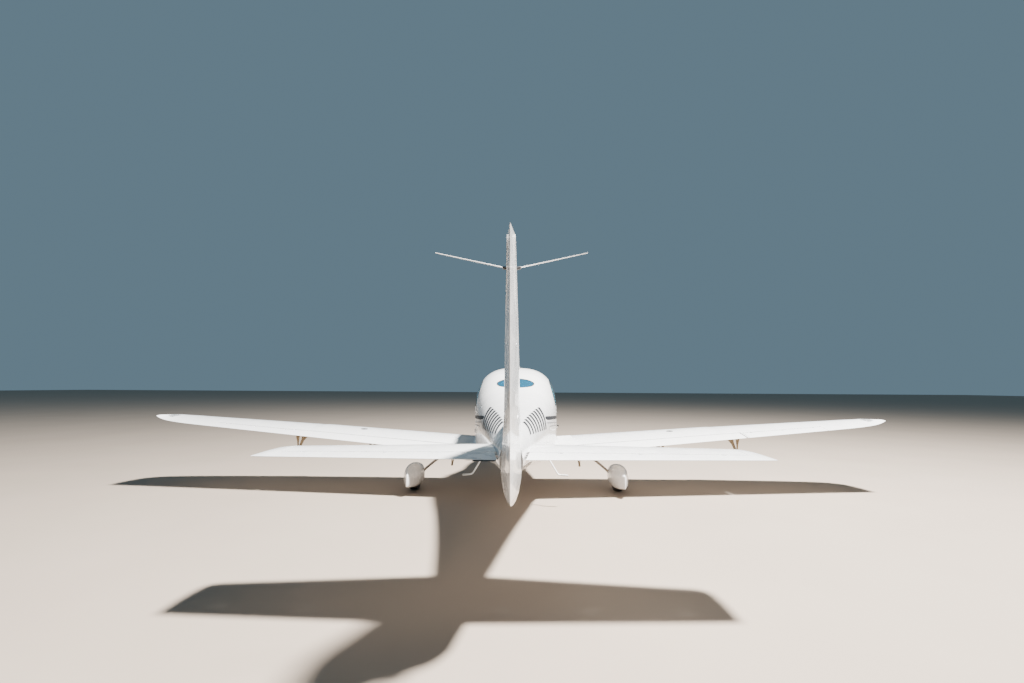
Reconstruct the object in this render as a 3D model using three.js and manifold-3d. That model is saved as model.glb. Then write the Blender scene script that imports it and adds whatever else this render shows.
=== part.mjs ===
// A light aircraft with a low wing, a fixed tricycle gear and four seats, standing on its wheels.
// Millimetres. X is to starboard, Y forward to the propeller and Z up from the ground.
import * as THREE from 'three';
import { mergeVertices } from 'three/addons/utils/BufferGeometryUtils.js';
import Module from 'manifold-3d';

const wasm = await Module();
wasm.setup();

// Driving dimensions
const SEAM = 0.3;              // gap between pieces that touch
const RUN_GAP = 6;             // clearance round pieces that move
const COVE_SLACK = 1;          // more room round a faceted nose
const RUDDER_SLACK = 4;
const MAIN_AXLE_Y = 1070;
const MAIN_WHEEL_X = 1640;
const MAIN_TYRE_R = 193;
const MAIN_TYRE_W = 152;
const NOSE_AXLE_Y = 3345;
const NOSE_TYRE_R = 180;
const NOSE_TYRE_W = 124;
const CASTER_Y = 3500;         // upright pivot of the nose wheel
const FIREWALL_Y = 2480;       // front end of the fuselage shell
const FIREWALL_FACE = 2460;    // front face of the firewall inside it
const WALL = 25;               // sandwich wall of the fuselage
const GLASS = 6;
const GLASS_INSET = 5;
const COWL_WALL = 12;
const COWL_SPLIT_Z = 1150;
const PROP_AXIS_Z = 1170;
const PROP_R = 990;
const PROP_Y = 3755;
const SPINNER_TIP_Y = 3960;
const SPINNER_BACK_Y = 3645;
const SPINNER_R = 168;
const STAB_Z = 1135;
const ELEVATOR_HINGE_Y = -2910;
const RUDDER_HINGE = { y: -3090, z: 850, lean: -0.323 };   // Y shift for each unit of height
const SEAT_X = 300;
const FLOOR_Z = 655;
const ROUND = 26;              // sides of a full circle in the large lofts
const WHEEL_SIDES = 26;
const LONGEST_BAY = 390;       // a longer bay between two stations gets a ring halfway

// Fuselage stations: half width, top, bottom, height of the widest line, corner exponents
const FUSELAGE = [
  { y: 2480, half: 545, top: 1440, bottom: 622, wide: 1100, upper: 2.6, lower: 3.2 },
  { y: 2400, half: 562, top: 1462, bottom: 612, wide: 1104, upper: 2.6, lower: 3.4 },
  { y: 2050, half: 605, top: 1665, bottom: 588, wide: 1130, upper: 2.7, lower: 4.2 },
  { y: 1750, half: 630, top: 1828, bottom: 574, wide: 1180, upper: 2.8, lower: 5.0 },
  { y: 1450, half: 645, top: 1928, bottom: 570, wide: 1230, upper: 2.8, lower: 5.0 },
  { y: 1050, half: 646, top: 1965, bottom: 570, wide: 1270, upper: 2.7, lower: 5.0 },
  { y: 650, half: 628, top: 1950, bottom: 570, wide: 1270, upper: 2.7, lower: 4.8 },
  { y: 300, half: 598, top: 1882, bottom: 575, wide: 1240, upper: 2.7, lower: 4.2 },
  { y: -50, half: 558, top: 1772, bottom: 592, wide: 1200, upper: 2.6, lower: 3.6 },
  { y: -500, half: 492, top: 1622, bottom: 645, wide: 1150, upper: 2.5, lower: 3.0 },
  { y: -1100, half: 398, top: 1490, bottom: 740, wide: 1120, upper: 2.4, lower: 2.5 },
  { y: -1800, half: 292, top: 1395, bottom: 838, wide: 1110, upper: 2.2, lower: 2.3 },
  { y: -2400, half: 204, top: 1332, bottom: 922, wide: 1115, upper: 2.2, lower: 2.2 },
  { y: -2800, half: 140, top: 1296, bottom: 978, wide: 1125, upper: 2.2, lower: 2.2 },
  { y: -3230, half: 80, top: 1255, bottom: 1030, wide: 1130, upper: 2.2, lower: 2.2 },
];

// Engine cowl stations, from the firewall to the flat nose
const COWL = [
  { y: 2480.3, half: 545, top: 1440, bottom: 622, wide: 1100, upper: 2.6, lower: 3.2 },
  { y: 2800, half: 538, top: 1424, bottom: 640, wide: 1105, upper: 2.6, lower: 3.0 },
  { y: 3150, half: 508, top: 1394, bottom: 690, wide: 1115, upper: 2.5, lower: 2.7 },
  { y: 3400, half: 458, top: 1362, bottom: 752, wide: 1130, upper: 2.4, lower: 2.5 },
  { y: 3550, half: 400, top: 1334, bottom: 815, wide: 1145, upper: 2.3, lower: 2.3 },
  { y: 3620, half: 335, top: 1308, bottom: 880, wide: 1160, upper: 2.2, lower: 2.2 },
  { y: 3636, half: 290, top: 1285, bottom: 930, wide: 1165, upper: 2.1, lower: 2.1 },
];

// Wing stations: edges in plan, height of the trailing edge, rise of the nose, thickness
const WING = [
  { x: 440, lead: 1826, trail: 346, z: 646, rise: 36, thick: 205 },
  { x: 3280, lead: 1792, trail: 644, z: 879, rise: 26, thick: 150 },
  { x: 3320, lead: 1815, trail: 649, z: 882, rise: 14, thick: 153 },
  { x: 4700, lead: 1724, trail: 793, z: 995, rise: 10, thick: 116 },
  { x: 5300, lead: 1665, trail: 856, z: 1045, rise: 10, thick: 98 },
  { x: 5520, lead: 1618, trail: 872, z: 1070, rise: 12, thick: 82 },
  { x: 5680, lead: 1530, trail: 884, z: 1096, rise: 14, thick: 60 },
  { x: 5790, lead: 1380, trail: 890, z: 1130, rise: 10, thick: 34 },
  { x: 5846, lead: 1060, trail: 894, z: 1163, rise: 2, thick: 9 },
];
const FLAP = { from: 668, to: 3552, nose: [705, 920] };
const FLAP_END_GAP = 24;       // the swept hinge line moves a lowered flap outboard
const AILERON = { from: 3602, to: 4895, nose: [905, 1010] };
const FLAP_PIVOT_DROP = 265;   // pivot below the flap's nose
const FLAP_BRACKETS = [985, 2290, 3490];
const CAMBER = 0.022;
const JACK_PAD = { x: 1750, y: 1260, bottom: 704, radius: 30 };
const DIHEDRAL = 0.082;
const PITOT = { x: -3950, y: 1420, below: 62, reach: 230 };
// Concave fairing along the wing root: how far it reaches over the wing and up the body
const ROOT_FAIRING = [
  { y: 1740, across: 20, up: 14 },
  { y: 1600, across: 48, up: 30 },
  { y: 1350, across: 80, up: 40 },
  { y: 1000, across: 80, up: 42 },
  { y: 720, across: 50, up: 44 },
  { y: 346, across: 46, up: 48 },
  { y: 200, across: 30, up: 36 },
  { y: 60, across: 8, up: 12 },
];

// Horizontal tail stations, and the stations where the elevator horn begins
const STAB = [
  { x: 0, lead: -2335, trail: -3135, z: STAB_Z, rise: 0, thick: 82 },
  { x: 1830, lead: -2545, trail: -3062, z: STAB_Z, rise: 0, thick: 54 },
  { x: 1905, lead: -2568, trail: -3057, z: STAB_Z, rise: 0, thick: 46 },
  { x: 1958, lead: -2630, trail: -3053, z: STAB_Z, rise: 0, thick: 30 },
  { x: 1981, lead: -2800, trail: -3050, z: STAB_Z, rise: 0, thick: 12 },
];
const STAB_FIXED_TO = 1828;
const ELEVATOR_FROM = 104;

// Fin and rudder stations by height; the rudder's nose radius is about the hinge line
const FIN = [
  { z: 1150, lead: -1700, trail: -3590, half: 72 },
  { z: 1345, lead: -1950, trail: -3635, half: 69 },
  { z: 1430, lead: -2330, trail: -3656, half: 66 },
  { z: 1560, lead: -2530, trail: -3688, half: 62 },
  { z: 2065, lead: -2942, trail: -3817, half: 49 },
  { z: 2600, lead: -3376, trail: -3950, half: 31 },
  { z: 2700, lead: -3500, trail: -3979, half: 27 },
];
const RUDDER = [
  { z: 802, trail: -3118, radius: 16 },
  { z: 832, trail: -3240, radius: 34 },
  { z: 905, trail: -3435, radius: 57 },
  { z: 1000, trail: -3515, radius: 73 },
  { z: 1120, trail: -3578, radius: 76 },
  { z: 1250, trail: -3611, radius: 64 },
  { z: 1395, trail: -3647, radius: 54 },
  { z: 1600, trail: -3699, radius: 48 },
  { z: 2065, trail: -3817, radius: 37 },
  { z: 2700, trail: -3979, radius: 22 },
];
const FIN_TOP = [[-3300, 2540], [-3373, 2593], [-3415, 2640], [-3490, 2671], [-3660, 2658], [-3962, 2624]];

// Wheel fairings, from nose to tail: half width, top and bottom
const MAIN_PANT = [
  { y: 392, half: 8, top: 250, bottom: 226 },
  { y: 330, half: 62, top: 312, bottom: 160 },
  { y: 220, half: 114, top: 380, bottom: 104 },
  { y: 60, half: 147, top: 422, bottom: 78 },
  { y: -100, half: 145, top: 428, bottom: 76 },
  { y: -260, half: 121, top: 410, bottom: 88 },
  { y: -420, half: 70, top: 374, bottom: 118 },
  { y: -568, half: 9, top: 330, bottom: 152 },
];
const NOSE_PANT = [
  { y: 296, half: 8, top: 236, bottom: 212 },
  { y: 235, half: 58, top: 304, bottom: 148 },
  { y: 130, half: 98, top: 362, bottom: 92 },
  { y: 20, half: 116, top: 392, bottom: 74 },
  { y: -110, half: 112, top: 396, bottom: 78 },
  { y: -260, half: 84, top: 374, bottom: 100 },
  { y: -400, half: 48, top: 338, bottom: 132 },
  { y: -520, half: 8, top: 296, bottom: 164 },
];

// Propeller blade by radius: chord, thickness and pitch angle in degrees
const BLADE = [
  { r: 40, chord: 84, thick: 84, pitch: 55 },
  { r: 150, chord: 84, thick: 74, pitch: 52 },
  { r: 290, chord: 134, thick: 36, pitch: 42 },
  { r: 540, chord: 158, thick: 21, pitch: 29 },
  { r: 800, chord: 140, thick: 13, pitch: 21 },
  { r: 935, chord: 108, thick: 9, pitch: 17 },
  { r: PROP_R, chord: 40, thick: 5, pitch: 16 },
];

// Side outlines as [Y, Z], cut straight across the body
const WINDSHIELD = [[2460, 1490], [2408, 1446], [2290, 1398], [2095, 1345], [2060, 1352], [1560, 1905],
  [1530, 2010], [2460, 2010]];
const DOOR = [[2008, 1300], [1575, 1792], [1530, 1832], [1460, 1862], [1000, 1880], [940, 1866], [912, 1820],
  [868, 1300], [880, 960], [912, 892], [970, 868], [1880, 868], [1968, 900], [2002, 980]];
const DOOR_WINDOW = [[1888, 1352], [1570, 1712], [1528, 1748], [1480, 1770], [1030, 1790], [998, 1770],
  [958, 1372], [975, 1350], [1870, 1332]];
const DOOR_SKEW = 0.12;        // the door's edges rise outward, along the way that it swings
const DOOR_SKEW_FROM = 600;
const REAR_SIDE_WINDOW = [[812, 1372], [846, 1752], [820, 1776], [620, 1772], [400, 1722], [190, 1618],
  [92, 1510], [84, 1436], [140, 1388]];
const BAGGAGE_DOOR = [[-140, 985], [-165, 960], [-560, 960], [-590, 985], [-590, 1390], [-565, 1418],
  [-165, 1450], [-140, 1425]];
// Hinge lines of the doors as two [Y, Z] places on the skin, and how far they stand off it
const DOOR_HINGE = { places: [[1950, 1366], [1800, 1536]], off: 15 };
const BAGGAGE_HINGE = { places: [[-141, 1060], [-141, 1340]], off: 12 };
const FRONT_SEAT = [[1460, 850], [1475, 930], [1430, 962], [1060, 940], [985, 1240], [950, 1520], [930, 1700],
  [880, 1712], [858, 1690], [890, 1480], [935, 1000], [960, 862], [1040, 840.3], [1440, 840.3]];
const REAR_SEAT = [[640, 850.3], [655, 930], [610, 965], [300, 945], [205, 1250], [165, 1540], [110, 1552],
  [85, 1530], [120, 1200], [160, 850.3]];
const REAR_WINDOW = { y: -120, ahead: 100, behind: 280, halfWidth: 262 };

// Basic geometry helpers

function solid(geometry) {
  const bare = geometry.clone();
  for (const name of Object.keys(bare.attributes)) {
    if (name !== 'position') bare.deleteAttribute(name);
  }
  const merged = mergeVertices(bare, 0.001);
  const position = merged.attributes.position;
  const index = merged.index.array;
  const corner = [0, 1, 2].map(() => new THREE.Vector3());
  const triangles = [];
  let volume = 0;
  for (let i = 0; i < index.length; i += 3) {
    const [a, b, c] = [index[i], index[i + 1], index[i + 2]];
    if (a === b || b === c || c === a) continue;
    triangles.push([a, b, c]);
    [a, b, c].forEach((vertex, k) => corner[k].fromBufferAttribute(position, vertex));
    volume += corner[0].dot(corner[1].clone().cross(corner[2]));
  }
  const outward = volume < 0 ? triangles.map(([a, b, c]) => [a, c, b]) : triangles;
  return new wasm.Manifold(new wasm.Mesh({
    numProp: 3, vertProperties: position.array, triVerts: new Uint32Array(outward.flat()),
  }));
}

// A closed skin over rings of points, made by placing the vertices of a cylinder on them
function loft(rings) {
  const sides = rings[0].length;
  const skin = new THREE.CylinderGeometry(1, 1, 1, sides, rings.length - 1);
  const position = skin.attributes.position;
  let vertex = 0;
  const put = (point) => position.setXYZ(vertex++, point.x, point.y, point.z);
  for (const ring of rings) {
    for (let side = 0; side <= sides; side++) put(ring[side % sides]);
  }
  for (const ring of [rings[0], rings[rings.length - 1]]) {
    const middle = new THREE.Vector3();
    ring.forEach((point) => middle.addScaledVector(point, 1 / sides));
    for (let side = 0; side < sides; side++) put(middle);
    for (let side = 0; side <= sides; side++) put(ring[side % sides]);
  }
  return solid(skin);
}

function box(x0, x1, y0, y1, z0, z1) {
  const block = new THREE.BoxGeometry(x1 - x0, y1 - y0, z1 - z0);
  return solid(block.translate((x0 + x1) / 2, (y0 + y1) / 2, (z0 + z1) / 2));
}

// A round bar from one point to another
function bar(from, to, radius, endRadius = radius, sides = 14) {
  const along = new THREE.Vector3().subVectors(to, from);
  const shape = new THREE.CylinderGeometry(endRadius, radius, along.length(), sides);
  const up = new THREE.Vector3(0, 1, 0);
  shape.applyQuaternion(new THREE.Quaternion().setFromUnitVectors(up, along.clone().normalize()));
  const middle = new THREE.Vector3().addVectors(from, to).multiplyScalar(0.5);
  return solid(shape.translate(middle.x, middle.y, middle.z));
}

// A side outline of [Y, Z] points drawn out along X
function sidePrism(outline, x0, x1, shear = new THREE.Matrix4()) {
  const shape = new THREE.Shape(outline.map(([y, z]) => new THREE.Vector2(y, z)));
  const prism = new THREE.ExtrudeGeometry(shape, { depth: x1 - x0, bevelEnabled: false });
  const axes = new THREE.Matrix4().makeBasis(
    new THREE.Vector3(0, 1, 0), new THREE.Vector3(0, 0, 1), new THREE.Vector3(1, 0, 0));
  return solid(prism.applyMatrix4(axes).translate(x0, 0, 0).applyMatrix4(shear));
}

// The side outline of a door, drawn out along the way that the door swings
function doorPrism(outline) {
  const shear = new THREE.Matrix4().makeShear(0, DOOR_SKEW, 0, 0, 0, 0);
  shear.premultiply(new THREE.Matrix4().makeTranslation(0, 0, -DOOR_SKEW * DOOR_SKEW_FROM));
  return sidePrism(outline, 200, 900, shear);
}

// Moves each edge of a convex-cornered outline inward by the same distance
function shrink(outline, distance) {
  const count = outline.length;
  const area = outline.reduce((sum, [y, z], i) => {
    const [nextY, nextZ] = outline[(i + 1) % count];
    return sum + y * nextZ - nextY * z;
  }, 0);
  const turn = Math.sign(area);
  return outline.map((point, i) => {
    const before = outline[(i + count - 1) % count];
    const after = outline[(i + 1) % count];
    const normals = [[before, point], [point, after]].map(([p, q]) => {
      const length = Math.hypot(q[0] - p[0], q[1] - p[1]);
      return [-turn * (q[1] - p[1]) / length, turn * (q[0] - p[0]) / length];
    });
    const [[ay, az], [by, bz]] = normals;
    const scale = distance / (1 + ay * by + az * bz);
    return [point[0] + (ay + by) * scale, point[1] + (az + bz) * scale];
  });
}

// Angles of a half circle, from the top round the front to the bottom
const HALF_TURN = Array.from({ length: 7 }, (_, i) => Math.PI / 2 - Math.PI * i / 6);
const fullTurn = (sides) => Array.from({ length: sides }, (_, i) => 2 * Math.PI * i / sides);

const joinAll = (solids) => solids.reduce((whole, piece) => whole.add(piece));
const vector = (x, y, z) => new THREE.Vector3(x, y, z);

// Values of a station table at any place, straight or smooth between the rows
function station(table, key, at, smooth = false) {
  const rising = table[1][key] > table[0][key];
  let row = table.findIndex((entry) => (rising ? entry[key] >= at : entry[key] <= at));
  row = row < 0 ? table.length - 1 : Math.max(1, row);
  const [p1, p2] = [table[row - 1], table[row]];
  const p0 = table[Math.max(0, row - 2)];
  const p3 = table[Math.min(table.length - 1, row + 1)];
  const span = p2[key] - p1[key];
  const t = (at - p1[key]) / span;
  const result = {};
  for (const name of Object.keys(p1)) {
    if (!smooth) {
      result[name] = p1[name] + (p2[name] - p1[name]) * t;
      continue;
    }
    const slope1 = (p2[name] - p0[name]) / (p2[key] - p0[key]) * span;
    const slope2 = (p3[name] - p1[name]) / (p3[key] - p1[key]) * span;
    const [t2, t3] = [t * t, t * t * t];
    result[name] = (2 * t3 - 3 * t2 + 1) * p1[name] + (t3 - 2 * t2 + t) * slope1
      + (3 * t2 - 2 * t3) * p2[name] + (t3 - t2) * slope2;
  }
  result[key] = at;
  return result;
}

// Body sections

function bodyRing(section, inset, sides = ROUND) {
  return fullTurn(sides).map((angle) => {
    const [across, up] = [Math.cos(angle), Math.sin(angle)];
    const exponent = 2 / (up > 0 ? section.upper : section.lower);
    const reach = up > 0 ? section.top - section.wide : section.wide - section.bottom;
    return vector(
      Math.sign(across) * Math.abs(across) ** exponent * (section.half - inset), section.y,
      section.wide + Math.sign(up) * Math.abs(up) ** exponent * (reach - inset));
  });
}

// A body skin between two places, moved inward by the inset, with its rings at the stations
function bodyLoft(table, inset, yFrom, yTo) {
  const places = [];
  table.forEach(({ y }, i) => {
    if (i > 0 && Math.abs(y - table[i - 1].y) > LONGEST_BAY) places.push((y + table[i - 1].y) / 2);
    places.push(y);
  });
  const [low, high] = [Math.min(yFrom, yTo), Math.max(yFrom, yTo)];
  const kept = places.filter((y) => y > low + 5 && y < high - 5);
  const ends = table[0].y > table[1].y ? [high, ...kept, low] : [low, ...kept, high];
  return loft(ends.map((y) => bodyRing(station(table, 'y', y, true), inset)));
}

// Half width of the fuselage skin at a place on its side
function skinX(y, z) {
  const section = station(FUSELAGE, 'y', y, true);
  const reach = z > section.wide ? section.top - section.wide : section.wide - section.bottom;
  const exponent = z > section.wide ? section.upper : section.lower;
  const height = Math.min(1, Math.abs(z - section.wide) / reach);
  return section.half * (1 - height ** exponent) ** (1 / exponent);
}

// Aerofoil sections

// Upper and lower height of the section at a fraction of the chord from the nose
function foil(fraction, thickness, camber) {
  const f = Math.max(0, fraction);
  const half = 5 * thickness * (0.2969 * Math.sqrt(f) - 0.126 * f - 0.3516 * f ** 2
    + 0.2843 * f ** 3 - 0.1036 * f ** 4);
  const line = camber * (f < 0.4 ? (0.8 * f - f * f) / 0.16 : (0.2 + 0.8 * f - f * f) / 0.36);
  return [line + half, line - half];
}

const EDGE_HALF = 1.5;         // half thickness of a trailing edge

function foilPoint(section, fraction, side, camber) {
  const chord = section.lead - section.trail;
  const height = foil(fraction, section.thick / chord, camber)[side === 1 ? 0 : 1] * chord;
  const rise = section.rise * (1 - fraction);
  return vector(section.x, section.lead - fraction * chord,
    section.z + rise + height + side * EDGE_HALF * fraction);
}

function foilRing(section, camber, half = 9) {
  const fractions = Array.from({ length: half }, (_, i) => (1 - Math.cos(Math.PI * i / (half - 1))) / 2);
  const upper = fractions.slice().reverse().map((f) => foilPoint(section, f, 1, camber));
  const lower = fractions.slice(1).map((f) => foilPoint(section, f, -1, camber));
  return [...upper, ...lower];
}

// Round nose and hinge point of a control surface that starts at a place on the chord
function nose(section, noseY, camber) {
  const fraction = (section.lead - noseY) / (section.lead - section.trail);
  const [top, bottom] = [1, -1].map((side) => foilPoint(section, fraction, side, camber));
  const radius = (top.z - bottom.z) / 2;
  return { fraction, radius, centre: vector(section.x, noseY, (top.z + bottom.z) / 2) };
}

function surfaceRing(section, noseY, camber) {
  const { fraction, radius, centre } = nose(section, noseY, camber);
  const steps = 3;
  const fractions = Array.from({ length: steps }, (_, i) => 1 - (1 - fraction) * i / steps);
  const arc = HALF_TURN.map((angle) => vector(
    section.x, centre.y + Math.cos(angle) * radius, centre.z + Math.sin(angle) * radius));
  const upper = fractions.map((f) => foilPoint(section, f, 1, camber));
  const lower = fractions.slice().reverse().map((f) => foilPoint(section, f, -1, camber));
  return [...upper, ...arc, ...lower];
}

// The room that a control surface needs: its grown nose and all that lies behind it
function coveRing(section, noseY, camber, x) {
  const { radius, centre } = nose(section, noseY, camber);
  const high = 160;
  const room = radius + RUN_GAP + COVE_SLACK;
  const arc = HALF_TURN.map((angle) => vector(
    x, centre.y + Math.cos(angle) * room, centre.z + Math.sin(angle) * room));
  const behind = section.trail - 60;
  return [vector(x, behind, centre.z + high), vector(x, centre.y, centre.z + high), ...arc,
    vector(x, centre.y, centre.z - high), vector(x, behind, centre.z - high)];
}

// Hinge of a control surface: the fixed arm's round eye fills a notch in the moving nose
function addHinge(fixed, moving, centre, along, forward, radius) {
  const half = 16;
  const at = (distance) => centre.clone().addScaledVector(along, distance);
  const eye = bar(at(SEAM - half), at(half - SEAM), radius * 0.72, radius * 0.72, 10);
  const reach = centre.clone().addScaledVector(forward, radius + RUN_GAP + 30);
  const armRadius = Math.min(radius * 0.6, half - 2);
  const arm = bar(centre, reach, armRadius, armRadius, 4);
  const notch = new THREE.BoxGeometry(2 * half, 3 * radius + 5, 3 * radius);
  const axes = new THREE.Matrix4().makeBasis(along, forward, along.clone().cross(forward));
  const middle = centre.clone().addScaledVector(forward, radius * 0.5);
  const cut = solid(notch.applyMatrix4(axes).translate(middle.x, middle.y, middle.z));
  return [fixed.add(eye).add(arm), moving.subtract(cut)];
}

function mirrored(shape) {
  const { vertProperties, triVerts } = shape.getMesh();
  const geometry = new THREE.BufferGeometry();
  geometry.setAttribute('position', new THREE.BufferAttribute(new Float32Array(vertProperties), 3));
  geometry.setIndex(Array.from(triVerts));
  return solid(geometry.scale(-1, 1, 1));
}

const paint = { white: 0xf4f5f6, grey: 0x9aa0a4, dark: 0x2b2d30, metal: 0xa8acb0, steel: 0x6f7478,
  glass: 0x6fa3ad, tyre: 0x1b1b1c, seat: 0x77706a, floor: 0x44474a };

function mesh(name, shape, colour, roughness = 0.35, metalness = 0) {
  const { vertProperties, triVerts } = shape.getMesh();
  const geometry = new THREE.BufferGeometry();
  geometry.setAttribute('position', new THREE.BufferAttribute(new Float32Array(vertProperties), 3));
  geometry.setIndex(Array.from(triVerts));
  geometry.computeVertexNormals();
  const material = new THREE.MeshStandardMaterial({ color: colour, roughness, metalness });
  const piece = new THREE.Mesh(geometry, material);
  piece.name = name;
  return piece;
}

// Both sides of a piece that is drawn on the starboard side
function pair(name, shape, ...finish) {
  return [mesh(`${name}_right`, shape, ...finish), mesh(`${name}_left`, mirrored(shape), ...finish)];
}

// Tail: stabiliser with elevators, fin with rudder

function stabRings(grow = 0) {
  const right = STAB.map((row) => foilRing({
    ...row, lead: row.lead + grow, trail: row.trail - grow, thick: row.thick + 2 * grow }, 0));
  const left = right.slice(1).map((ring) => ring.map((p) => vector(-p.x, p.y, p.z))).reverse();
  return [...left, ...right];
}

function horizontalTail() {
  const whole = loft(stabRings());
  const rows = [ELEVATOR_FROM, STAB_FIXED_TO + RUN_GAP, STAB_FIXED_TO + RUN_GAP + 40]
    .map((x) => station(STAB, 'x', x));
  const blade = loft(rows.map((row) => surfaceRing(row, ELEVATOR_HINGE_Y, 0)));
  const tip = whole.intersect(box(STAB_FIXED_TO + RUN_GAP, 2100, -3200, -2400, 1000, 1300));
  const coneSide = sideWedge();
  let elevator = blade.add(tip).subtract(coneSide);
  const coves = [60, STAB_FIXED_TO].map((x) => coveRing(station(STAB, 'x', x), ELEVATOR_HINGE_Y, 0, x));
  const cove = loft(coves);
  let fixed = whole.intersect(box(-STAB_FIXED_TO, STAB_FIXED_TO, -3200, -2300, 1000, 1300));
  const middle = box(-60.5, 60.5, -3300, ELEVATOR_HINGE_Y + 45, 1000, 1300);
  fixed = fixed.subtract(middle);
  const along = vector(1, 0, 0);
  const forward = vector(0, 1, 0);
  let half = fixed.intersect(box(0, 2000, -3300, -2300, 1000, 1300)).subtract(cove);
  for (const x of [380, 1000, 1640]) {
    const { centre, radius } = nose(station(STAB, 'x', x), ELEVATOR_HINGE_Y, 0);
    [half, elevator] = addHinge(half, elevator, centre, along, forward, radius);
  }
  return { stabilizer: half.add(mirrored(half)), elevator };
}

// The slanted inboard end of the elevator follows the tail cone
function sideWedge() {
  const ahead = ELEVATOR_HINGE_Y + 60;
  const outline = new THREE.Shape([[0, ahead], [146, ahead], [ELEVATOR_FROM, -3160], [0, -3160]]
    .map(([x, y]) => new THREE.Vector2(x, y)));
  const wedge = new THREE.ExtrudeGeometry(outline, { depth: 300, bevelEnabled: false });
  return solid(wedge.translate(0, 0, 1000));
}

const hingeY = (z) => RUDDER_HINGE.y + RUDDER_HINGE.lean * (z - RUDDER_HINGE.z);

function rudderRing(row) {
  const y = hingeY(row.z);
  const arc = HALF_TURN.map((angle) => vector(
    Math.sin(angle) * row.radius, y + Math.cos(angle) * row.radius, row.z));
  return [vector(EDGE_HALF, row.trail, row.z), ...arc, vector(-EDGE_HALF, row.trail, row.z)];
}

function rudderCove(row) {
  const y = hingeY(row.z);
  const room = row.radius + RUN_GAP + RUDDER_SLACK;
  const arc = HALF_TURN.map((angle) => vector(Math.sin(angle) * room, y + Math.cos(angle) * room, row.z));
  return [vector(200, row.trail - 60, row.z), vector(200, y, row.z), ...arc, vector(-200, y, row.z),
    vector(-200, row.trail - 60, row.z)];
}

function finRing(row, half = 11) {
  const fractions = Array.from({ length: half }, (_, i) => (1 - Math.cos(Math.PI * i / (half - 1))) / 2);
  const chord = row.lead - row.trail;
  const at = (f, side) => vector(
    side * (foil(f, 2 * row.half / chord, 0)[0] * chord + EDGE_HALF * f), row.lead - f * chord, row.z);
  const right = fractions.slice().reverse().map((f) => at(f, 1));
  const left = fractions.slice(1).map((f) => at(f, -1));
  return [...right, ...left];
}

function verticalTail(body, cove) {
  const outline = [...FIN_TOP, [-4100, 2612], [-4100, 700], [-1500, 700], [-1500, 1300]];
  const profile = sidePrism(outline, -150, 150);
  let fin = loft(FIN.map((row) => finRing(row))).intersect(profile).subtract(cove).subtract(body);
  const tab = sidePrism([[-3640, 1415], [-3692, 1415], [-3738, 1595], [-3684, 1595]], -1.2, 1.2);
  let rudder = loft(RUDDER.map(rudderRing)).intersect(profile).add(tab);
  const along = vector(0, RUDDER_HINGE.lean, 1).normalize();
  const forward = vector(0, 1, -RUDDER_HINGE.lean).normalize();
  for (const z of [1480, 1980, 2480]) {
    const { radius } = station(RUDDER, 'z', z);
    [fin, rudder] = addHinge(fin, rudder, vector(0, hingeY(z), z), along, forward, radius);
  }
  return { fin, rudder };
}

// Wing with flap and aileron, starboard side

function rootFairing() {
  const section = station(WING, 'x', 640);
  return loft(ROOT_FAIRING.map(({ y, across, up }) => {
    const fraction = Math.min(1, (section.lead - y) / (section.lead - section.trail));
    const [top, bottom] = [1, -1].map((side) => foilPoint(section, fraction, side, CAMBER).z);
    const inboard = skinX(y, top);
    const curve = [0, 1, 2, 3, 4].map((step) => {
      const angle = Math.PI * (1 + step / 8);
      const x = inboard + across * (1 + Math.cos(angle));
      return vector(x, y, top - 1.5 + (x - section.x) * DIHEDRAL + up * (1 + Math.sin(angle)));
    });
    const low = top - Math.min(24, 4 + 0.4 * (top - bottom));
    return [...curve, vector(inboard + across, y, low), vector(inboard - 40, y, low),
      vector(inboard - 40, y, top + up)];
  }));
}

function wingSide(body) {
  const whole = loft(WING.map((row) => foilRing(row, CAMBER, 11))).add(rootFairing());
  const at = (surface, side) => station(WING, 'x', surface[side]);
  const surfaces = {};
  let wing = whole.subtract(body);
  for (const [name, surface] of Object.entries({ flap: FLAP, aileron: AILERON })) {
    const [inner, outer] = [at(surface, 'from'), at(surface, 'to')];
    const endGap = name === 'flap' ? FLAP_END_GAP : RUN_GAP;
    surfaces[name] = loft([
      surfaceRing(inner, surface.nose[0], CAMBER),
      surfaceRing(outer, surface.nose[1], CAMBER)]);
    const cove = loft([
      coveRing(inner, surface.nose[0], CAMBER, surface.from - RUN_GAP),
      coveRing(outer, surface.nose[1], CAMBER, surface.to + endGap)]);
    wing = wing.subtract(cove);
    const ends = [nose(inner, surface.nose[0], CAMBER), nose(outer, surface.nose[1], CAMBER)];
    surfaces[`${name}Ends`] = ends;
  }
  const [from, to] = surfaces.aileronEnds;
  const along = to.centre.clone().sub(from.centre).normalize();
  const forward = vector(0, 1, 0).cross(along).cross(along).negate().normalize();
  for (const share of [0.1, 0.5, 0.9]) {
    const centre = from.centre.clone().lerp(to.centre, share);
    const radius = from.radius + (to.radius - from.radius) * share;
    [wing, surfaces.aileron] = addHinge(wing, surfaces.aileron, centre, along, forward, radius);
  }
  const [flapFrom, flapTo] = surfaces.flapEnds;
  const flapAlong = flapTo.centre.clone().sub(flapFrom.centre).normalize();
  for (const x of FLAP_BRACKETS) {
    const share = (x - FLAP.from) / (FLAP.to - FLAP.from);
    const noseCentre = flapFrom.centre.clone().lerp(flapTo.centre, share);
    const pivot = noseCentre.clone().add(vector(0, -10, -FLAP_PIVOT_DROP));
    [wing, surfaces.flap] = addFlapBracket(wing, surfaces.flap, pivot, flapAlong);
  }
  const pad = vector(JACK_PAD.x, JACK_PAD.y, JACK_PAD.bottom);
  wing = wing.add(bar(pad, pad.clone().setZ(JACK_PAD.bottom + 30), JACK_PAD.radius));
  return { wing, flap: surfaces.flap, aileron: surfaces.aileron };
}

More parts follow.
